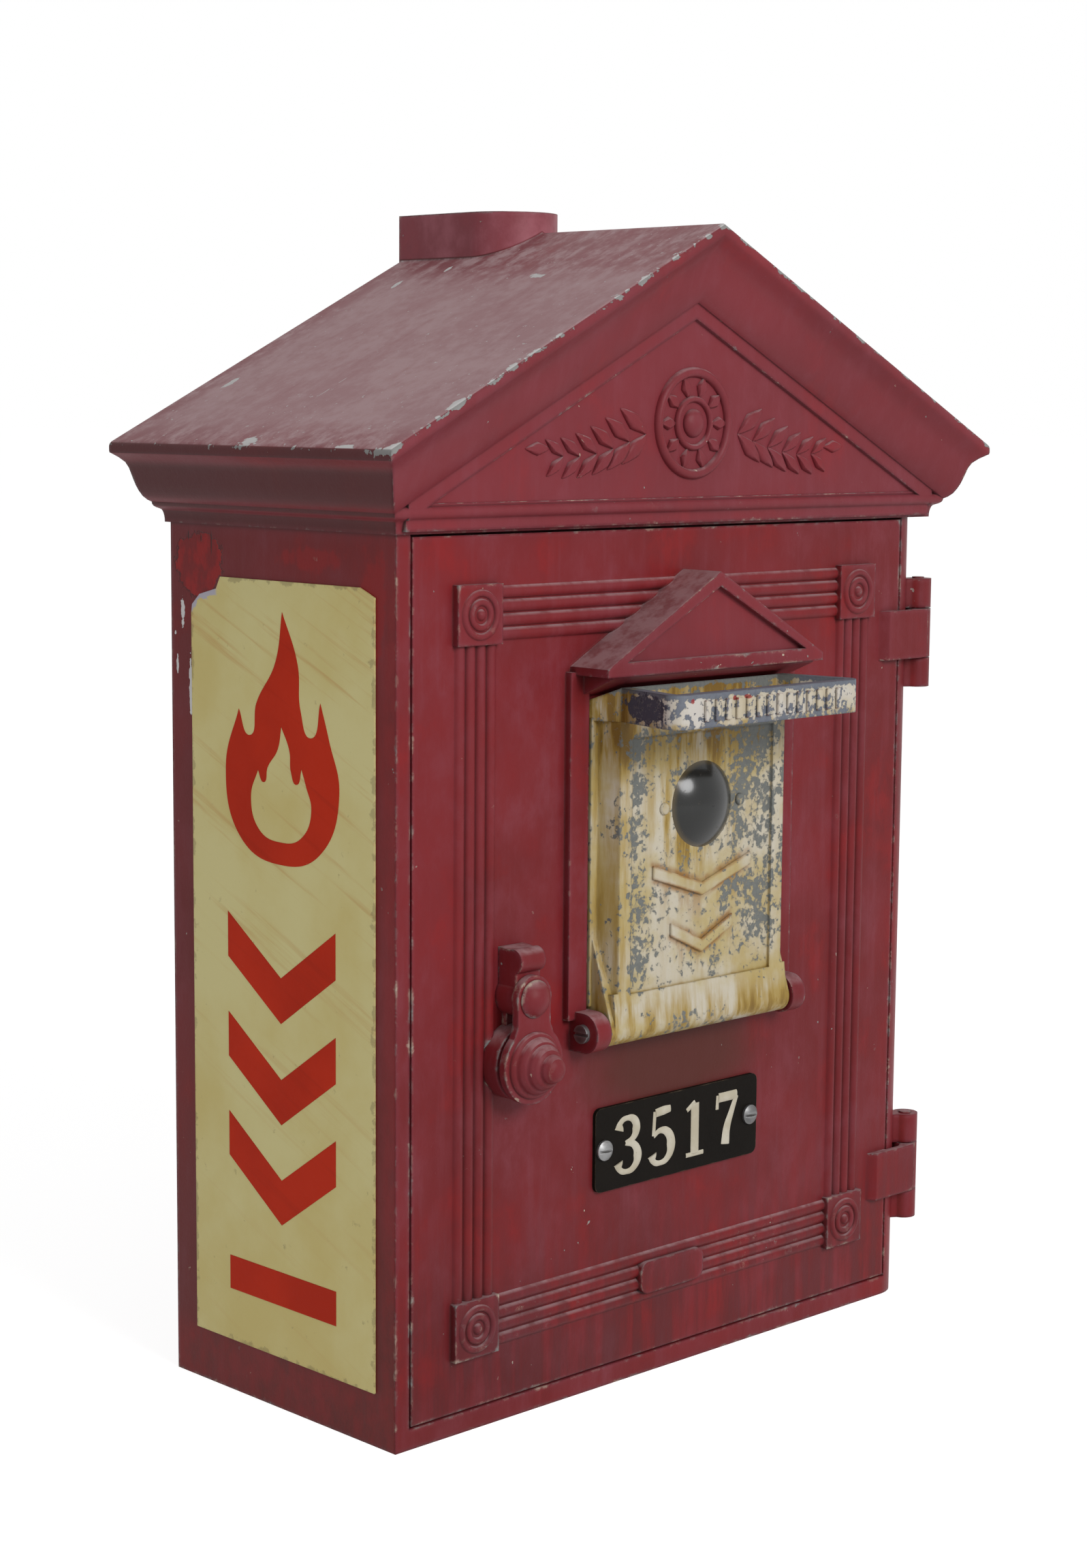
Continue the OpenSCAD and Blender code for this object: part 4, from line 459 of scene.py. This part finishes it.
def sign_finish():
    """Yellowed cream sheet, streaked by rain, scuffed at its border, with glue left along the tear."""
    f = Finish("sign_cream")
    y, z = f.along("Y"), f.along("Z")
    cloud = f.noise(0.06, detail=5)
    fine = f.noise(0.0014, detail=3)
    flake = f.noise(0.006, detail=7, roughness=0.65, shift=3.3)
    streak, smear, scuff = sheet_marks(f)
    colour = f.mix(cloud.step(0.35, 0.66), shade(206, 196, 140), shade(198, 182, 118))
    colour = f.mix(streak * (0.15 + 0.45 * z.step(60 * MM, 270 * MM)), colour, shade(186, 146, 88))
    colour = f.mix(smear * 0.4, colour, shade(148, 124, 72))
    colour = f.mix(scuff * 0.6, colour, shade(112, 88, 60))
    border = (y.step(SIGN_HIGH.y - 3 * MM, SIGN_HIGH.y).most(y.step(SIGN_LOW.y + 3 * MM, SIGN_LOW.y))
              .most(z.step(SIGN_HIGH.z - 3 * MM, SIGN_HIGH.z)).most(z.step(SIGN_LOW.z + 3 * MM, SIGN_LOW.z)))
    colour = f.mix((border * 0.18 + flake).step(0.64, 0.72) * 0.4, colour, shade(110, 92, 66))
    back, up = y - (SIGN_HIGH.y - 5 * MM), z - (SIGN_HIGH.z - 7 * MM)
    torn = (up + back * 0.25).most(up + back * 0.89) + (flake - 0.5) * 9 * MM
    residue = torn.step(-2.8 * MM, -2.2 * MM) * back.step(-11 * MM, -9 * MM)
    colour = f.mix(residue, colour, shade(172, 168, 178))
    return f.coat(colour, 0.45 + 0.2 * fine, f.relief(fine + scuff, 0.06 * MM, 0.3 * MM),
                  Specular_IOR_Level=0.2)


def ink_finish():
    """Orange red print, under the same marks as the sheet."""
    f = Finish("sign_ink")
    cloud = f.noise(0.05, detail=5, shift=3.0)
    fine = f.noise(0.0014, detail=3)
    streak, smear, scuff = sheet_marks(f)
    colour = f.mix(cloud.step(0.35, 0.66), shade(184, 44, 18), shade(170, 38, 14))
    colour = f.mix(streak * 0.3, colour, shade(150, 34, 12))
    colour = f.mix(smear * 0.25, colour, shade(146, 60, 40))
    colour = f.mix(scuff * 0.7, colour, shade(200, 160, 116))
    return f.coat(colour, 0.42 + 0.2 * fine, f.relief(fine, 0.05 * MM, 0.3 * MM), Specular_IOR_Level=0.08)


def metal_finish(name, light, dark, tarnish, roughness=0.34, metallic=0.9):
    """Turned or sheet metal with fine tool marks, tarnish in its nooks and brighter edges."""
    f = Finish(name)
    cloud, fine = f.noise(0.02, detail=5), f.noise(0.0016, (1, 1, 0.3), 3)
    edge, nook = f.edge(1.2 * MM), f.nook(4 * MM)
    colour = f.mix(cloud.step(0.35, 0.65), dark, light)
    colour = f.mix(edge.step(0.08, 0.4) * 0.5, colour, light)
    spots = f.noise(0.008, detail=6, shift=2.0).step(0.56, 0.7)
    stain = (nook.step(0.2, 0.8) * 0.6 + spots * 0.5).step(0.0, 1.0)
    colour = f.mix(stain, colour, tarnish)
    return f.coat(colour, roughness + 0.14 * fine + 0.2 * stain, f.relief(fine, 0.03 * MM, 0.4 * MM),
                  metallic - 0.35 * stain)


def moulded_finish(name, light, dark, roughness, spec):
    """Moulded or glazed insulation: slight clouding, painted shade in the nooks, fine pits."""
    f = Finish(name)
    cloud, fine = f.noise(0.015, detail=5), f.noise(0.0011, detail=2)
    colour = f.mix(cloud.step(0.3, 0.7), dark, light)
    # Painted shade in the nooks
    colour = f.mix(f.nook(4 * MM).step(0.2, 0.8) * 0.35, colour, shade(70, 60, 50))
    return f.coat(colour, roughness + 0.15 * fine, f.relief(fine, 0.03 * MM, 0.5 * MM), Specular_IOR_Level=spec)


def winding_finish():
    """Green cotton-covered wire: each turn has a thread that crosses it."""
    f = Finish("cotton_winding")
    thread = f.noise(0.0005, (1, 1, 0.4), 2)
    cloud = f.noise(0.008, detail=4)
    colour = f.mix(cloud.step(0.35, 0.65), shade(34, 62, 44), shade(58, 92, 66))
    colour = f.mix(thread.step(0.5, 0.7) * 0.5, colour, shade(110, 128, 96))
    return f.coat(colour, 0.7 + 0.2 * thread, f.relief(thread, 0.05 * MM, 0.1 * MM), Specular_IOR_Level=0.2)


RED = red_finish("crimson_enamel", 2.4 * MM)
CASTING = casting_finish()
RED_RELIEF = red_finish("crimson_relief", 0.5 * MM)
CREAM = cream_finish("cream_enamel", 2.2 * MM)
CREAM_RELIEF = cream_finish("cream_relief", 0.5 * MM, 0.7)
LENS = lens_finish()
PLATE = plate_finish()
NUMERAL = numeral_finish()
SIGN = sign_finish()
INK = ink_finish()
STEEL = metal_finish("dull_steel", shade(150, 150, 150), shade(100, 100, 100), shade(66, 56, 48), 0.40)
BRASS = metal_finish("aged_brass", shade(206, 172, 96), shade(160, 122, 56), shade(84, 62, 34), 0.30)
FAN = metal_finish("fan_sheet", shade(206, 208, 212), shade(176, 178, 182), shade(120, 118, 112), 0.32)
INSULATOR = moulded_finish("brown_insulation", shade(84, 50, 34), shade(58, 34, 24), 0.42, 0.4)
PORCELAIN = moulded_finish("glazed_insulation", shade(222, 216, 202), shade(204, 196, 178), 0.18, 0.5)
WINDING = winding_finish()

SLOT_FINISH = {"red_paint": RED, "cream_paint": CREAM, "steel": STEEL, "brass": BRASS, "fan_aluminium": FAN,
               "lens_glass": LENS, "black_plate": PLATE, "sign_sheet": SIGN, "insulator": INSULATOR,
               "porcelain": PORCELAIN, "coil_wrap": INSULATOR}
for subpart in frame["record"]["subparts"]:
    nodes[subpart["node"]].material_slots[0].material = SLOT_FINISH[subpart["material_slot"]]
for painted, paint in (("keyhole_cover_pin", RED), ("door_hinge_pins", RED), ("lens_rivets", CREAM)):
    nodes[painted].material_slots[0].material = paint


def piece(name, bm, finish, body, smooth=radians(35), weighted=False):
    """Makes a mesh object of a bmesh, painted, smooth between its sharp edges and riding on a body."""
    mesh = bpy.data.meshes.new(name)
    for edge in bm.edges:
        edge.smooth = edge.is_manifold and edge.calc_face_angle() < smooth
    bm.to_mesh(mesh)
    bm.free()
    if "custom_normal" in mesh.attributes:
        mesh.attributes.remove(mesh.attributes["custom_normal"])
    mesh.materials.clear()
    mesh.materials.append(finish)
    mesh.shade_smooth()
    made = bpy.data.objects.new(name, mesh)
    bpy.context.scene.collection.objects.link(made)
    if weighted:
        made.modifiers.new("flat faces", "WEIGHTED_NORMAL").keep_sharp = True
    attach(made, body)
    return made


def face(origin, right, out):
    """Takes a drawing in X and Y, with Z as its height, onto a face of the box."""
    right, out = Vector(right), Vector(out)
    turn = Matrix((right, out.cross(right), out)).transposed().to_4x4()
    return Matrix.Translation(origin) @ turn


def on_front(x, y, z):
    return face((x, y, z), (1, 0, 0), (0, -1, 0))


def on_left(x, y, z):
    return face((x, y, z), (0, -1, 0), (-1, 0, 0))


def curve_mesh(curve, place):
    """A curve made a mesh, as a bmesh at its place."""
    carrier = bpy.data.objects.new("carrier", curve)
    bpy.context.scene.collection.objects.link(carrier)
    mesh = bpy.data.meshes.new_from_object(carrier.evaluated_get(bpy.context.evaluated_depsgraph_get()))
    bpy.data.objects.remove(carrier)
    bm = bmesh.new()
    bm.from_mesh(mesh)
    bpy.data.meshes.remove(mesh)
    bpy.data.curves.remove(curve)
    bmesh.ops.remove_doubles(bm, verts=bm.verts, dist=1e-6)
    bmesh.ops.transform(bm, matrix=place, verts=bm.verts)
    bmesh.ops.recalc_face_normals(bm, faces=bm.faces)
    return bm


def flat_drawing(outlines, place, thickness, rounding=0.0):
    """A filled outline, drawn in metres, as a raised or printed flat piece. A point is (x, y) on a smooth
    curve or (x, y, "tip") at a corner."""
    curve = bpy.data.curves.new("drawing", "CURVE")
    curve.dimensions, curve.fill_mode = "2D", "BOTH"
    curve.extrude, curve.bevel_depth, curve.offset = thickness / 2 - rounding, rounding, -rounding
    curve.bevel_resolution = 2
    for outline in outlines:
        spline = curve.splines.new("BEZIER")
        spline.use_cyclic_u = True
        spline.bezier_points.add(len(outline) - 1)
        for knot, point in zip(spline.bezier_points, outline):
            knot.co = (point[0], point[1], 0)
            kind = "VECTOR" if len(point) > 2 else "AUTO"
            knot.handle_left_type = knot.handle_right_type = kind
    return curve_mesh(curve, place @ Matrix.Translation((0, 0, thickness / 2)))


def corners(points):
    return [(x, y, "tip") for x, y in points]


def joined(*parts):
    """Several bmeshes as one."""
    whole = bmesh.new()
    for part in parts:
        mesh = bpy.data.meshes.new("part")
        part.to_mesh(mesh)
        part.free()
        whole.from_mesh(mesh)
        bpy.data.meshes.remove(mesh)
    return whole


def cast_case():
    """The case again, its mouldings smooth from facet to facet."""
    bm = bmesh.new()
    bm.from_mesh(nodes["case"].data)
    bmesh.ops.remove_doubles(bm, verts=bm.verts, dist=2e-5)
    bmesh.ops.dissolve_limit(bm, angle_limit=radians(0.5), verts=bm.verts, edges=bm.edges)
    casting = piece("case_casting", bm, CASTING, "case", radians(32), weighted=True)
    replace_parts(casting, "case")


# Numerals: strokes of (across, up, width), as shares of the numeral's height
NUMERALS = {
    "3": [[(.11, .77, .20), (.15, .90, .10), (.31, .96, .08), (.49, .89, .14), (.53, .74, .17), (.45, .59, .11),
           (.27, .53, .07)],
          [(.27, .53, .07), (.48, .47, .12), (.57, .28, .18), (.49, .09, .12), (.30, .03, .08), (.14, .09, .10),
           (.10, .21, .20)]],
    "5": [[(.17, .92, .13), (.38, .94, .14), (.54, .95, .11)], [(.16, .95, .07), (.13, .53, .07)],
          [(.13, .52, .07), (.29, .60, .09), (.49, .53, .15), (.57, .32, .19), (.49, .10, .12), (.30, .03, .08),
           (.14, .08, .10), (.10, .20, .20)]],
    "1": [[(.34, .94, .18), (.34, .05, .18)], [(.34, .95, .09), (.13, .83, .07)],
          [(.12, .035, .07), (.56, .035, .07)]],
    "7": [[(.11, .92, .15), (.58, .92, .15)], [(.09, .97, .06), (.08, .72, .07)],
          [(.58, .90, .09), (.45, .62, .12), (.34, .36, .16), (.30, .07, .19)]],
}
PLATE_NUMBER = "3517"


def plate_numerals():
    height, pitch, rise = 22.5 * MM, 18.6 * MM, 0.5 * MM
    middle = (PLATE_LOW + PLATE_HIGH) / 2
    curve = bpy.data.curves.new("numerals", "CURVE")
    curve.dimensions, curve.bevel_depth, curve.bevel_resolution = "3D", 1, 3
    curve.use_fill_caps = True
    start = -pitch * (len(PLATE_NUMBER) - 1) / 2 - 0.33 * height
    for index, digit in enumerate(PLATE_NUMBER):
        for stroke in NUMERALS[digit]:
            spline = curve.splines.new("BEZIER")
            spline.bezier_points.add(len(stroke) - 1)
            for knot, (across, up, width) in zip(spline.bezier_points, stroke):
                knot.co = (start + index * pitch + across * height, (up - 0.5) * height, 0)
                knot.radius = 0.56 * width * height
                knot.handle_left_type = knot.handle_right_type = "AUTO"
    flatten = Matrix.Diagonal((1, 1, rise / (0.09 * height), 1))
    bm = curve_mesh(curve, on_front(middle.x, PLATE_LOW.y, middle.z) @ flatten)
    bmesh.ops.bisect_plane(bm, geom=bm.verts[:] + bm.edges[:] + bm.faces[:], plane_co=(0, PLATE_LOW.y, 0),
                           plane_no=(0, 1, 0), clear_outer=True)
    piece("plate_numerals", bm, NUMERAL, "door")


def leaf(length, width, rise):
    """A cast leaf along X from its stalk at the origin, pointed at both ends and grooved down its middle."""
    bm = bmesh.new()
    bmesh.ops.create_uvsphere(bm, u_segments=14, v_segments=10, radius=1,
                              matrix=Matrix.Rotation(pi / 2, 4, "Y"))
    for v in bm.verts:
        point = 1 - abs(v.co.x)
        v.co.z *= rise * (0.55 + 0.45 * min(1, abs(v.co.y) * 2.2))
        v.co.y *= width / 2 * (0.35 + 0.65 * point)
        v.co.x = (v.co.x + 1) * length / 2
    return bm


def ring(radius, tube, rise):
    """A cast bead round a circle, lying in X and Y."""
    bm = bmesh.new()
    bmesh.ops.create_circle(bm, segments=12, radius=tube,
                            matrix=Matrix.Translation((radius, 0, 0)) @ Matrix.Rotation(pi / 2, 4, "X"))
    bmesh.ops.spin(bm, geom=bm.edges[:] + bm.verts[:], cent=(0, 0, 0), axis=(0, 0, 1), angle=2 * pi, steps=48,
                   use_merge=True)
    bmesh.ops.remove_doubles(bm, verts=bm.verts, dist=1e-7)
    bmesh.ops.scale(bm, vec=(1, 1, rise / tube), verts=bm.verts)
    bmesh.ops.recalc_face_normals(bm, faces=bm.faces)
    return bm


def dome(radius, rise):
    """A cast round boss, of which half stands out."""
    bm = bmesh.new()
    bmesh.ops.create_uvsphere(bm, u_segments=24, v_segments=12, radius=1)
    bmesh.ops.scale(bm, vec=(radius, radius, rise), verts=bm.verts)
    return bm


def placed(bm, matrix):
    bmesh.ops.transform(bm, matrix=matrix, verts=bm.verts)
    return bm


def gable_relief():
    """A cast rosette with a leafy spray on either side, in the gable."""
    parts = [ring(19 * MM, 1.9 * MM, 2.2 * MM), ring(9 * MM, 1.2 * MM, 1.8 * MM), dome(5.4 * MM, 3 * MM)]
    petals, leaves = 10, 6
    spray_start, spray_end, leaf_pitch = 25 * MM, 101 * MM, 8.6 * MM
    for k in range(petals):
        turn = Matrix.Rotation(2 * pi * k / petals, 4, "Z")
        parts.append(placed(leaf(8 * MM, 5.2 * MM, 2 * MM), turn @ Matrix.Translation((9.8 * MM, 0, 0))))
    for side in (1, -1):
        for k in range(leaves):
            along = spray_start + leaf_pitch * k
            sag = -4 * MM - 8 * MM * sin(pi * (along - spray_start) / (spray_end - spray_start))
            for up in (1, -1):
                size = 1 - 0.07 * k
                tilt = radians(34 if up > 0 else -40)
                at = Matrix.Translation((side * along, sag, 0))
                turn = Matrix.Rotation(tilt if side > 0 else pi - tilt, 4, "Z")
                parts.append(placed(leaf(17 * MM * size, 6.6 * MM * size, 2.1 * MM), at @ turn))
        tip = Matrix.Translation((side * 75 * MM, -9 * MM, 0)) @ Matrix.Rotation(0 if side > 0 else pi, 4, "Z")
        parts.append(placed(leaf(12 * MM, 5 * MM, 1.8 * MM), tip))
    bm = placed(joined(*parts), on_front(0, GABLE_FACE, 366 * MM))
    bmesh.ops.recalc_face_normals(bm, faces=bm.faces)
    piece("gable_relief", bm, RED_RELIEF, "case", radians(50))


def sign_graphics():
    """A flame over three chevrons and a bar, printed on the sign."""
    print_t, wide = 0.12 * MM, 31 * MM

    def on_sign(z):
        return on_left(SIGN_LOW.x, SIGN_MIDDLE.y, z)

    def flame(size, sway):
        shape = [(0, 0), (.30, .08), (.42, .32), (.35, .52), (.29, .66, "tip"), (.22, .52), (.15, .62),
                 (.13, .80), (.02, 1, "tip"), (-.03, .80), (-.17, .63), (-.22, .50), (-.30, .60, "tip"),
                 (-.40, .36), (-.30, .09)]
        return [(p[0] * size * sway, p[1] * size, *p[2:]) for p in shape]

    tall = 92 * MM
    core = [(x * 0.46, y * 0.46 + 0.09 * tall, *rest) for x, y, *rest in flame(tall, 1)]
    parts = [flat_drawing([flame(tall, 0.86), core], on_sign(206 * MM), print_t)]
    for k in range(3):
        band, drop = 17 * MM, 21 * MM
        chevron = [(-wide, band), (-wide, 0), (0, -drop), (wide, 0), (wide, band), (0, band - drop)]
        parts.append(flat_drawing([corners(chevron)], on_sign((168 - 38 * k) * MM), print_t))
    bar = corners([(-wide, 0), (wide, 0), (wide, 13 * MM), (-wide, 13 * MM)])
    parts.append(flat_drawing([bar], on_sign(40 * MM), print_t))
    piece("sign_print", joined(*parts), INK, "case")


def pull_door_relief():
    """Two cast chevrons that point down the pull door's panel, and a row of grip ribs on its handle."""
    rise, band, parts = 1.3 * MM, CHEVRON_BAND, []
    for half, drop, z in PULL_CHEVRONS:
        chevron = [(-half, band), (-half, 0), (0, -drop), (half, 0), (half, band), (0, band - drop)]
        parts.append(flat_drawing([corners(chevron)], on_front(0, PANEL_FACE, z), rise, 0.5 * MM))
    rib_w, rib_h, pitch, count = 1.4 * MM, 3.9 * MM, 5.6 * MM, 14
    for k in range(count):
        rib = corners([(-rib_w, -rib_h), (rib_w, -rib_h), (rib_w, rib_h), (-rib_w, rib_h)])
        at = on_front((k - (count - 1) / 2) * pitch, HANDLE_FACE, PULL_HIGH.z - 6.2 * MM)
        parts.append(flat_drawing([rib], at, 1.2 * MM, 0.45 * MM))
    piece("pull_door_relief", joined(*parts), CREAM_RELIEF, "pull_door")


def wound(radius, wire, rise, curls, place, steps=28, sides=10):
    """Round wire wound along Z into curls that rise by the given step."""
    bm = bmesh.new()
    bmesh.ops.create_circle(bm, segments=sides, radius=wire,
                            matrix=Matrix.Translation((radius, 0, 0)) @ Matrix.Rotation(pi / 2, 4, "X"))
    bmesh.ops.spin(bm, geom=bm.edges[:] + bm.verts[:], cent=(0, 0, 0), axis=(0, 0, 1), angle=2 * pi * curls,
                   steps=int(steps * curls), dvec=(0, 0, rise / steps))
    bmesh.ops.remove_doubles(bm, verts=bm.verts, dist=1e-7)
    bmesh.ops.holes_fill(bm, edges=[e for e in bm.edges if e.is_boundary], sides=sides)
    bmesh.ops.transform(bm, matrix=place, verts=bm.verts)
    bmesh.ops.recalc_face_normals(bm, faces=bm.faces)
    return bm


def springs():
    """Both springs with round wire, in place of the solids' six-sided ones."""
    wire = 0.6 * MM
    low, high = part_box("pull_door_spring")
    middle, length = (low + high) / 2, high.x - low.x - 2 * wire
    curls = 14
    along_x = Matrix.Translation((low.x + wire, middle.y, middle.z)) @ Matrix.Rotation(pi / 2, 4, "Y")
    bm = wound(high.y - middle.y - wire, wire, length / curls, curls, along_x)
    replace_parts(piece("pull_door_spring_wire", bm, STEEL, "door"), "pull_door_spring")
    wire = 0.5 * MM
    low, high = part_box("lever_spring")
    middle, length = (low + high) / 2, high.z - low.z - 2 * wire
    curls = 12
    bm = wound(high.x - middle.x - wire, wire, length / curls, curls,
               Matrix.Translation((middle.x, middle.y, low.z + wire)))
    spring = piece("lever_spring_wire", bm, STEEL, "case")
    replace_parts(spring, "lever_spring")
    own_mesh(spring)


def coil_windings():
    """Turns of covered wire on the two bell magnets, between their end discs."""
    low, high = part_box("magnet_coils")
    middle = (low + high) / 2
    disc, wire, turns = 2 * MM, 0.55 * MM, 12
    radius = (high.y - low.y) / 2 - 0.65 * MM
    rise = (high.z - low.z - 2 * disc - 2 * wire) / turns
    parts = []
    for side in (-1, 1):
        x = middle.x + side * ((high.x - low.x) / 2 - (high.y - low.y) / 2)
        parts.append(wound(radius, wire, rise, turns, Matrix.Translation((x, middle.y, low.z + disc + wire))))
    piece("coil_windings", joined(*parts), WINDING, "case")


def soft_box(name, at, aim, size, power):
    """A round soft lamp that faces a place."""
    lamp = bpy.data.lights.new(name, "AREA")
    lamp.shape, lamp.size, lamp.energy = "DISK", size, power
    made = bpy.data.objects.new(name, lamp)
    made.location = at
    made.rotation_euler = (Vector(aim) - Vector(at)).to_track_quat("-Z", "Y").to_euler()
    bpy.context.scene.collection.objects.link(made)


def studio():
    """White surround, a pale floor that keeps a faint shadow, a soft key in front and a fill on the left."""
    fill_level, floor_glow, glow_share = 0.46, 1.42, 0.6
    key_power, left_power = 33.5, 2.8
    scene = bpy.context.scene
    scene.view_settings.view_transform = "Standard"
    world = bpy.data.worlds.new("studio")
    scene.world = world
    world.use_nodes = True
    sky = Nodes(world.node_tree)
    sky.tree.nodes.remove(sky.tree.nodes["Background"])
    fill = sky.node("Background", sockets={"Color": WHITE, "Strength": fill_level})
    white = sky.node("Background", sockets={"Color": WHITE, "Strength": 1})
    both = sky.node("MixShader", sockets={0: sky.seen_directly(), 1: fill, 2: white})
    sky.plug(sky.tree.nodes["World Output"].inputs["Surface"], both)

    bm = bmesh.new()
    bmesh.ops.create_grid(bm, x_segments=1, y_segments=1, size=30)
    mesh = bpy.data.meshes.new("floor")
    bm.to_mesh(mesh)
    bm.free()
    floor = bpy.data.objects.new("floor", mesh)
    scene.collection.objects.link(floor)
    f = Finish("pale_floor")
    mesh.materials.append(f.coat((0.82, 0.82, 0.82, 1), 0.9, Specular_IOR_Level=0.0))
    lit = Value(f, f.shader.outputs[0])
    glow = f.node("Emission", sockets={"Color": WHITE, "Strength": floor_glow})
    both = f.node("MixShader", sockets={0: f.seen_directly() * glow_share, 1: lit, 2: glow})
    f.plug(f.tree.nodes["Material Output"].inputs["Surface"], both)

    middle = (0, 0, 0.22)
    soft_box("key", (-0.15, -2.0, 1.25), middle, 1.0, key_power)
    soft_box("left_fill", (-2.0, -0.5, 0.9), middle, 1.2, left_power)


def camera():
    """Stands where the photograph was taken: its place, axes and field of view in the box's frame."""
    right, up = Vector((0.71746, -0.69655, 0.00791)), Vector((0.08700, 0.10087, 0.99109))
    at = Vector((-0.7862, -0.7973, 0.3730))
    data = bpy.data.cameras.new("camera")
    data.sensor_width, data.lens = 36, 65.15
    made = bpy.data.objects.new("camera", data)
    turn = Matrix((right, up, right.cross(up))).transposed().to_4x4()
    made.matrix_world = Matrix.Translation(at) @ turn
    bpy.context.scene.collection.objects.link(made)
    bpy.context.scene.camera = made


cast_case()
plate_numerals()
gable_relief()
sign_graphics()
pull_door_relief()
springs()
coil_windings()
studio()
camera()
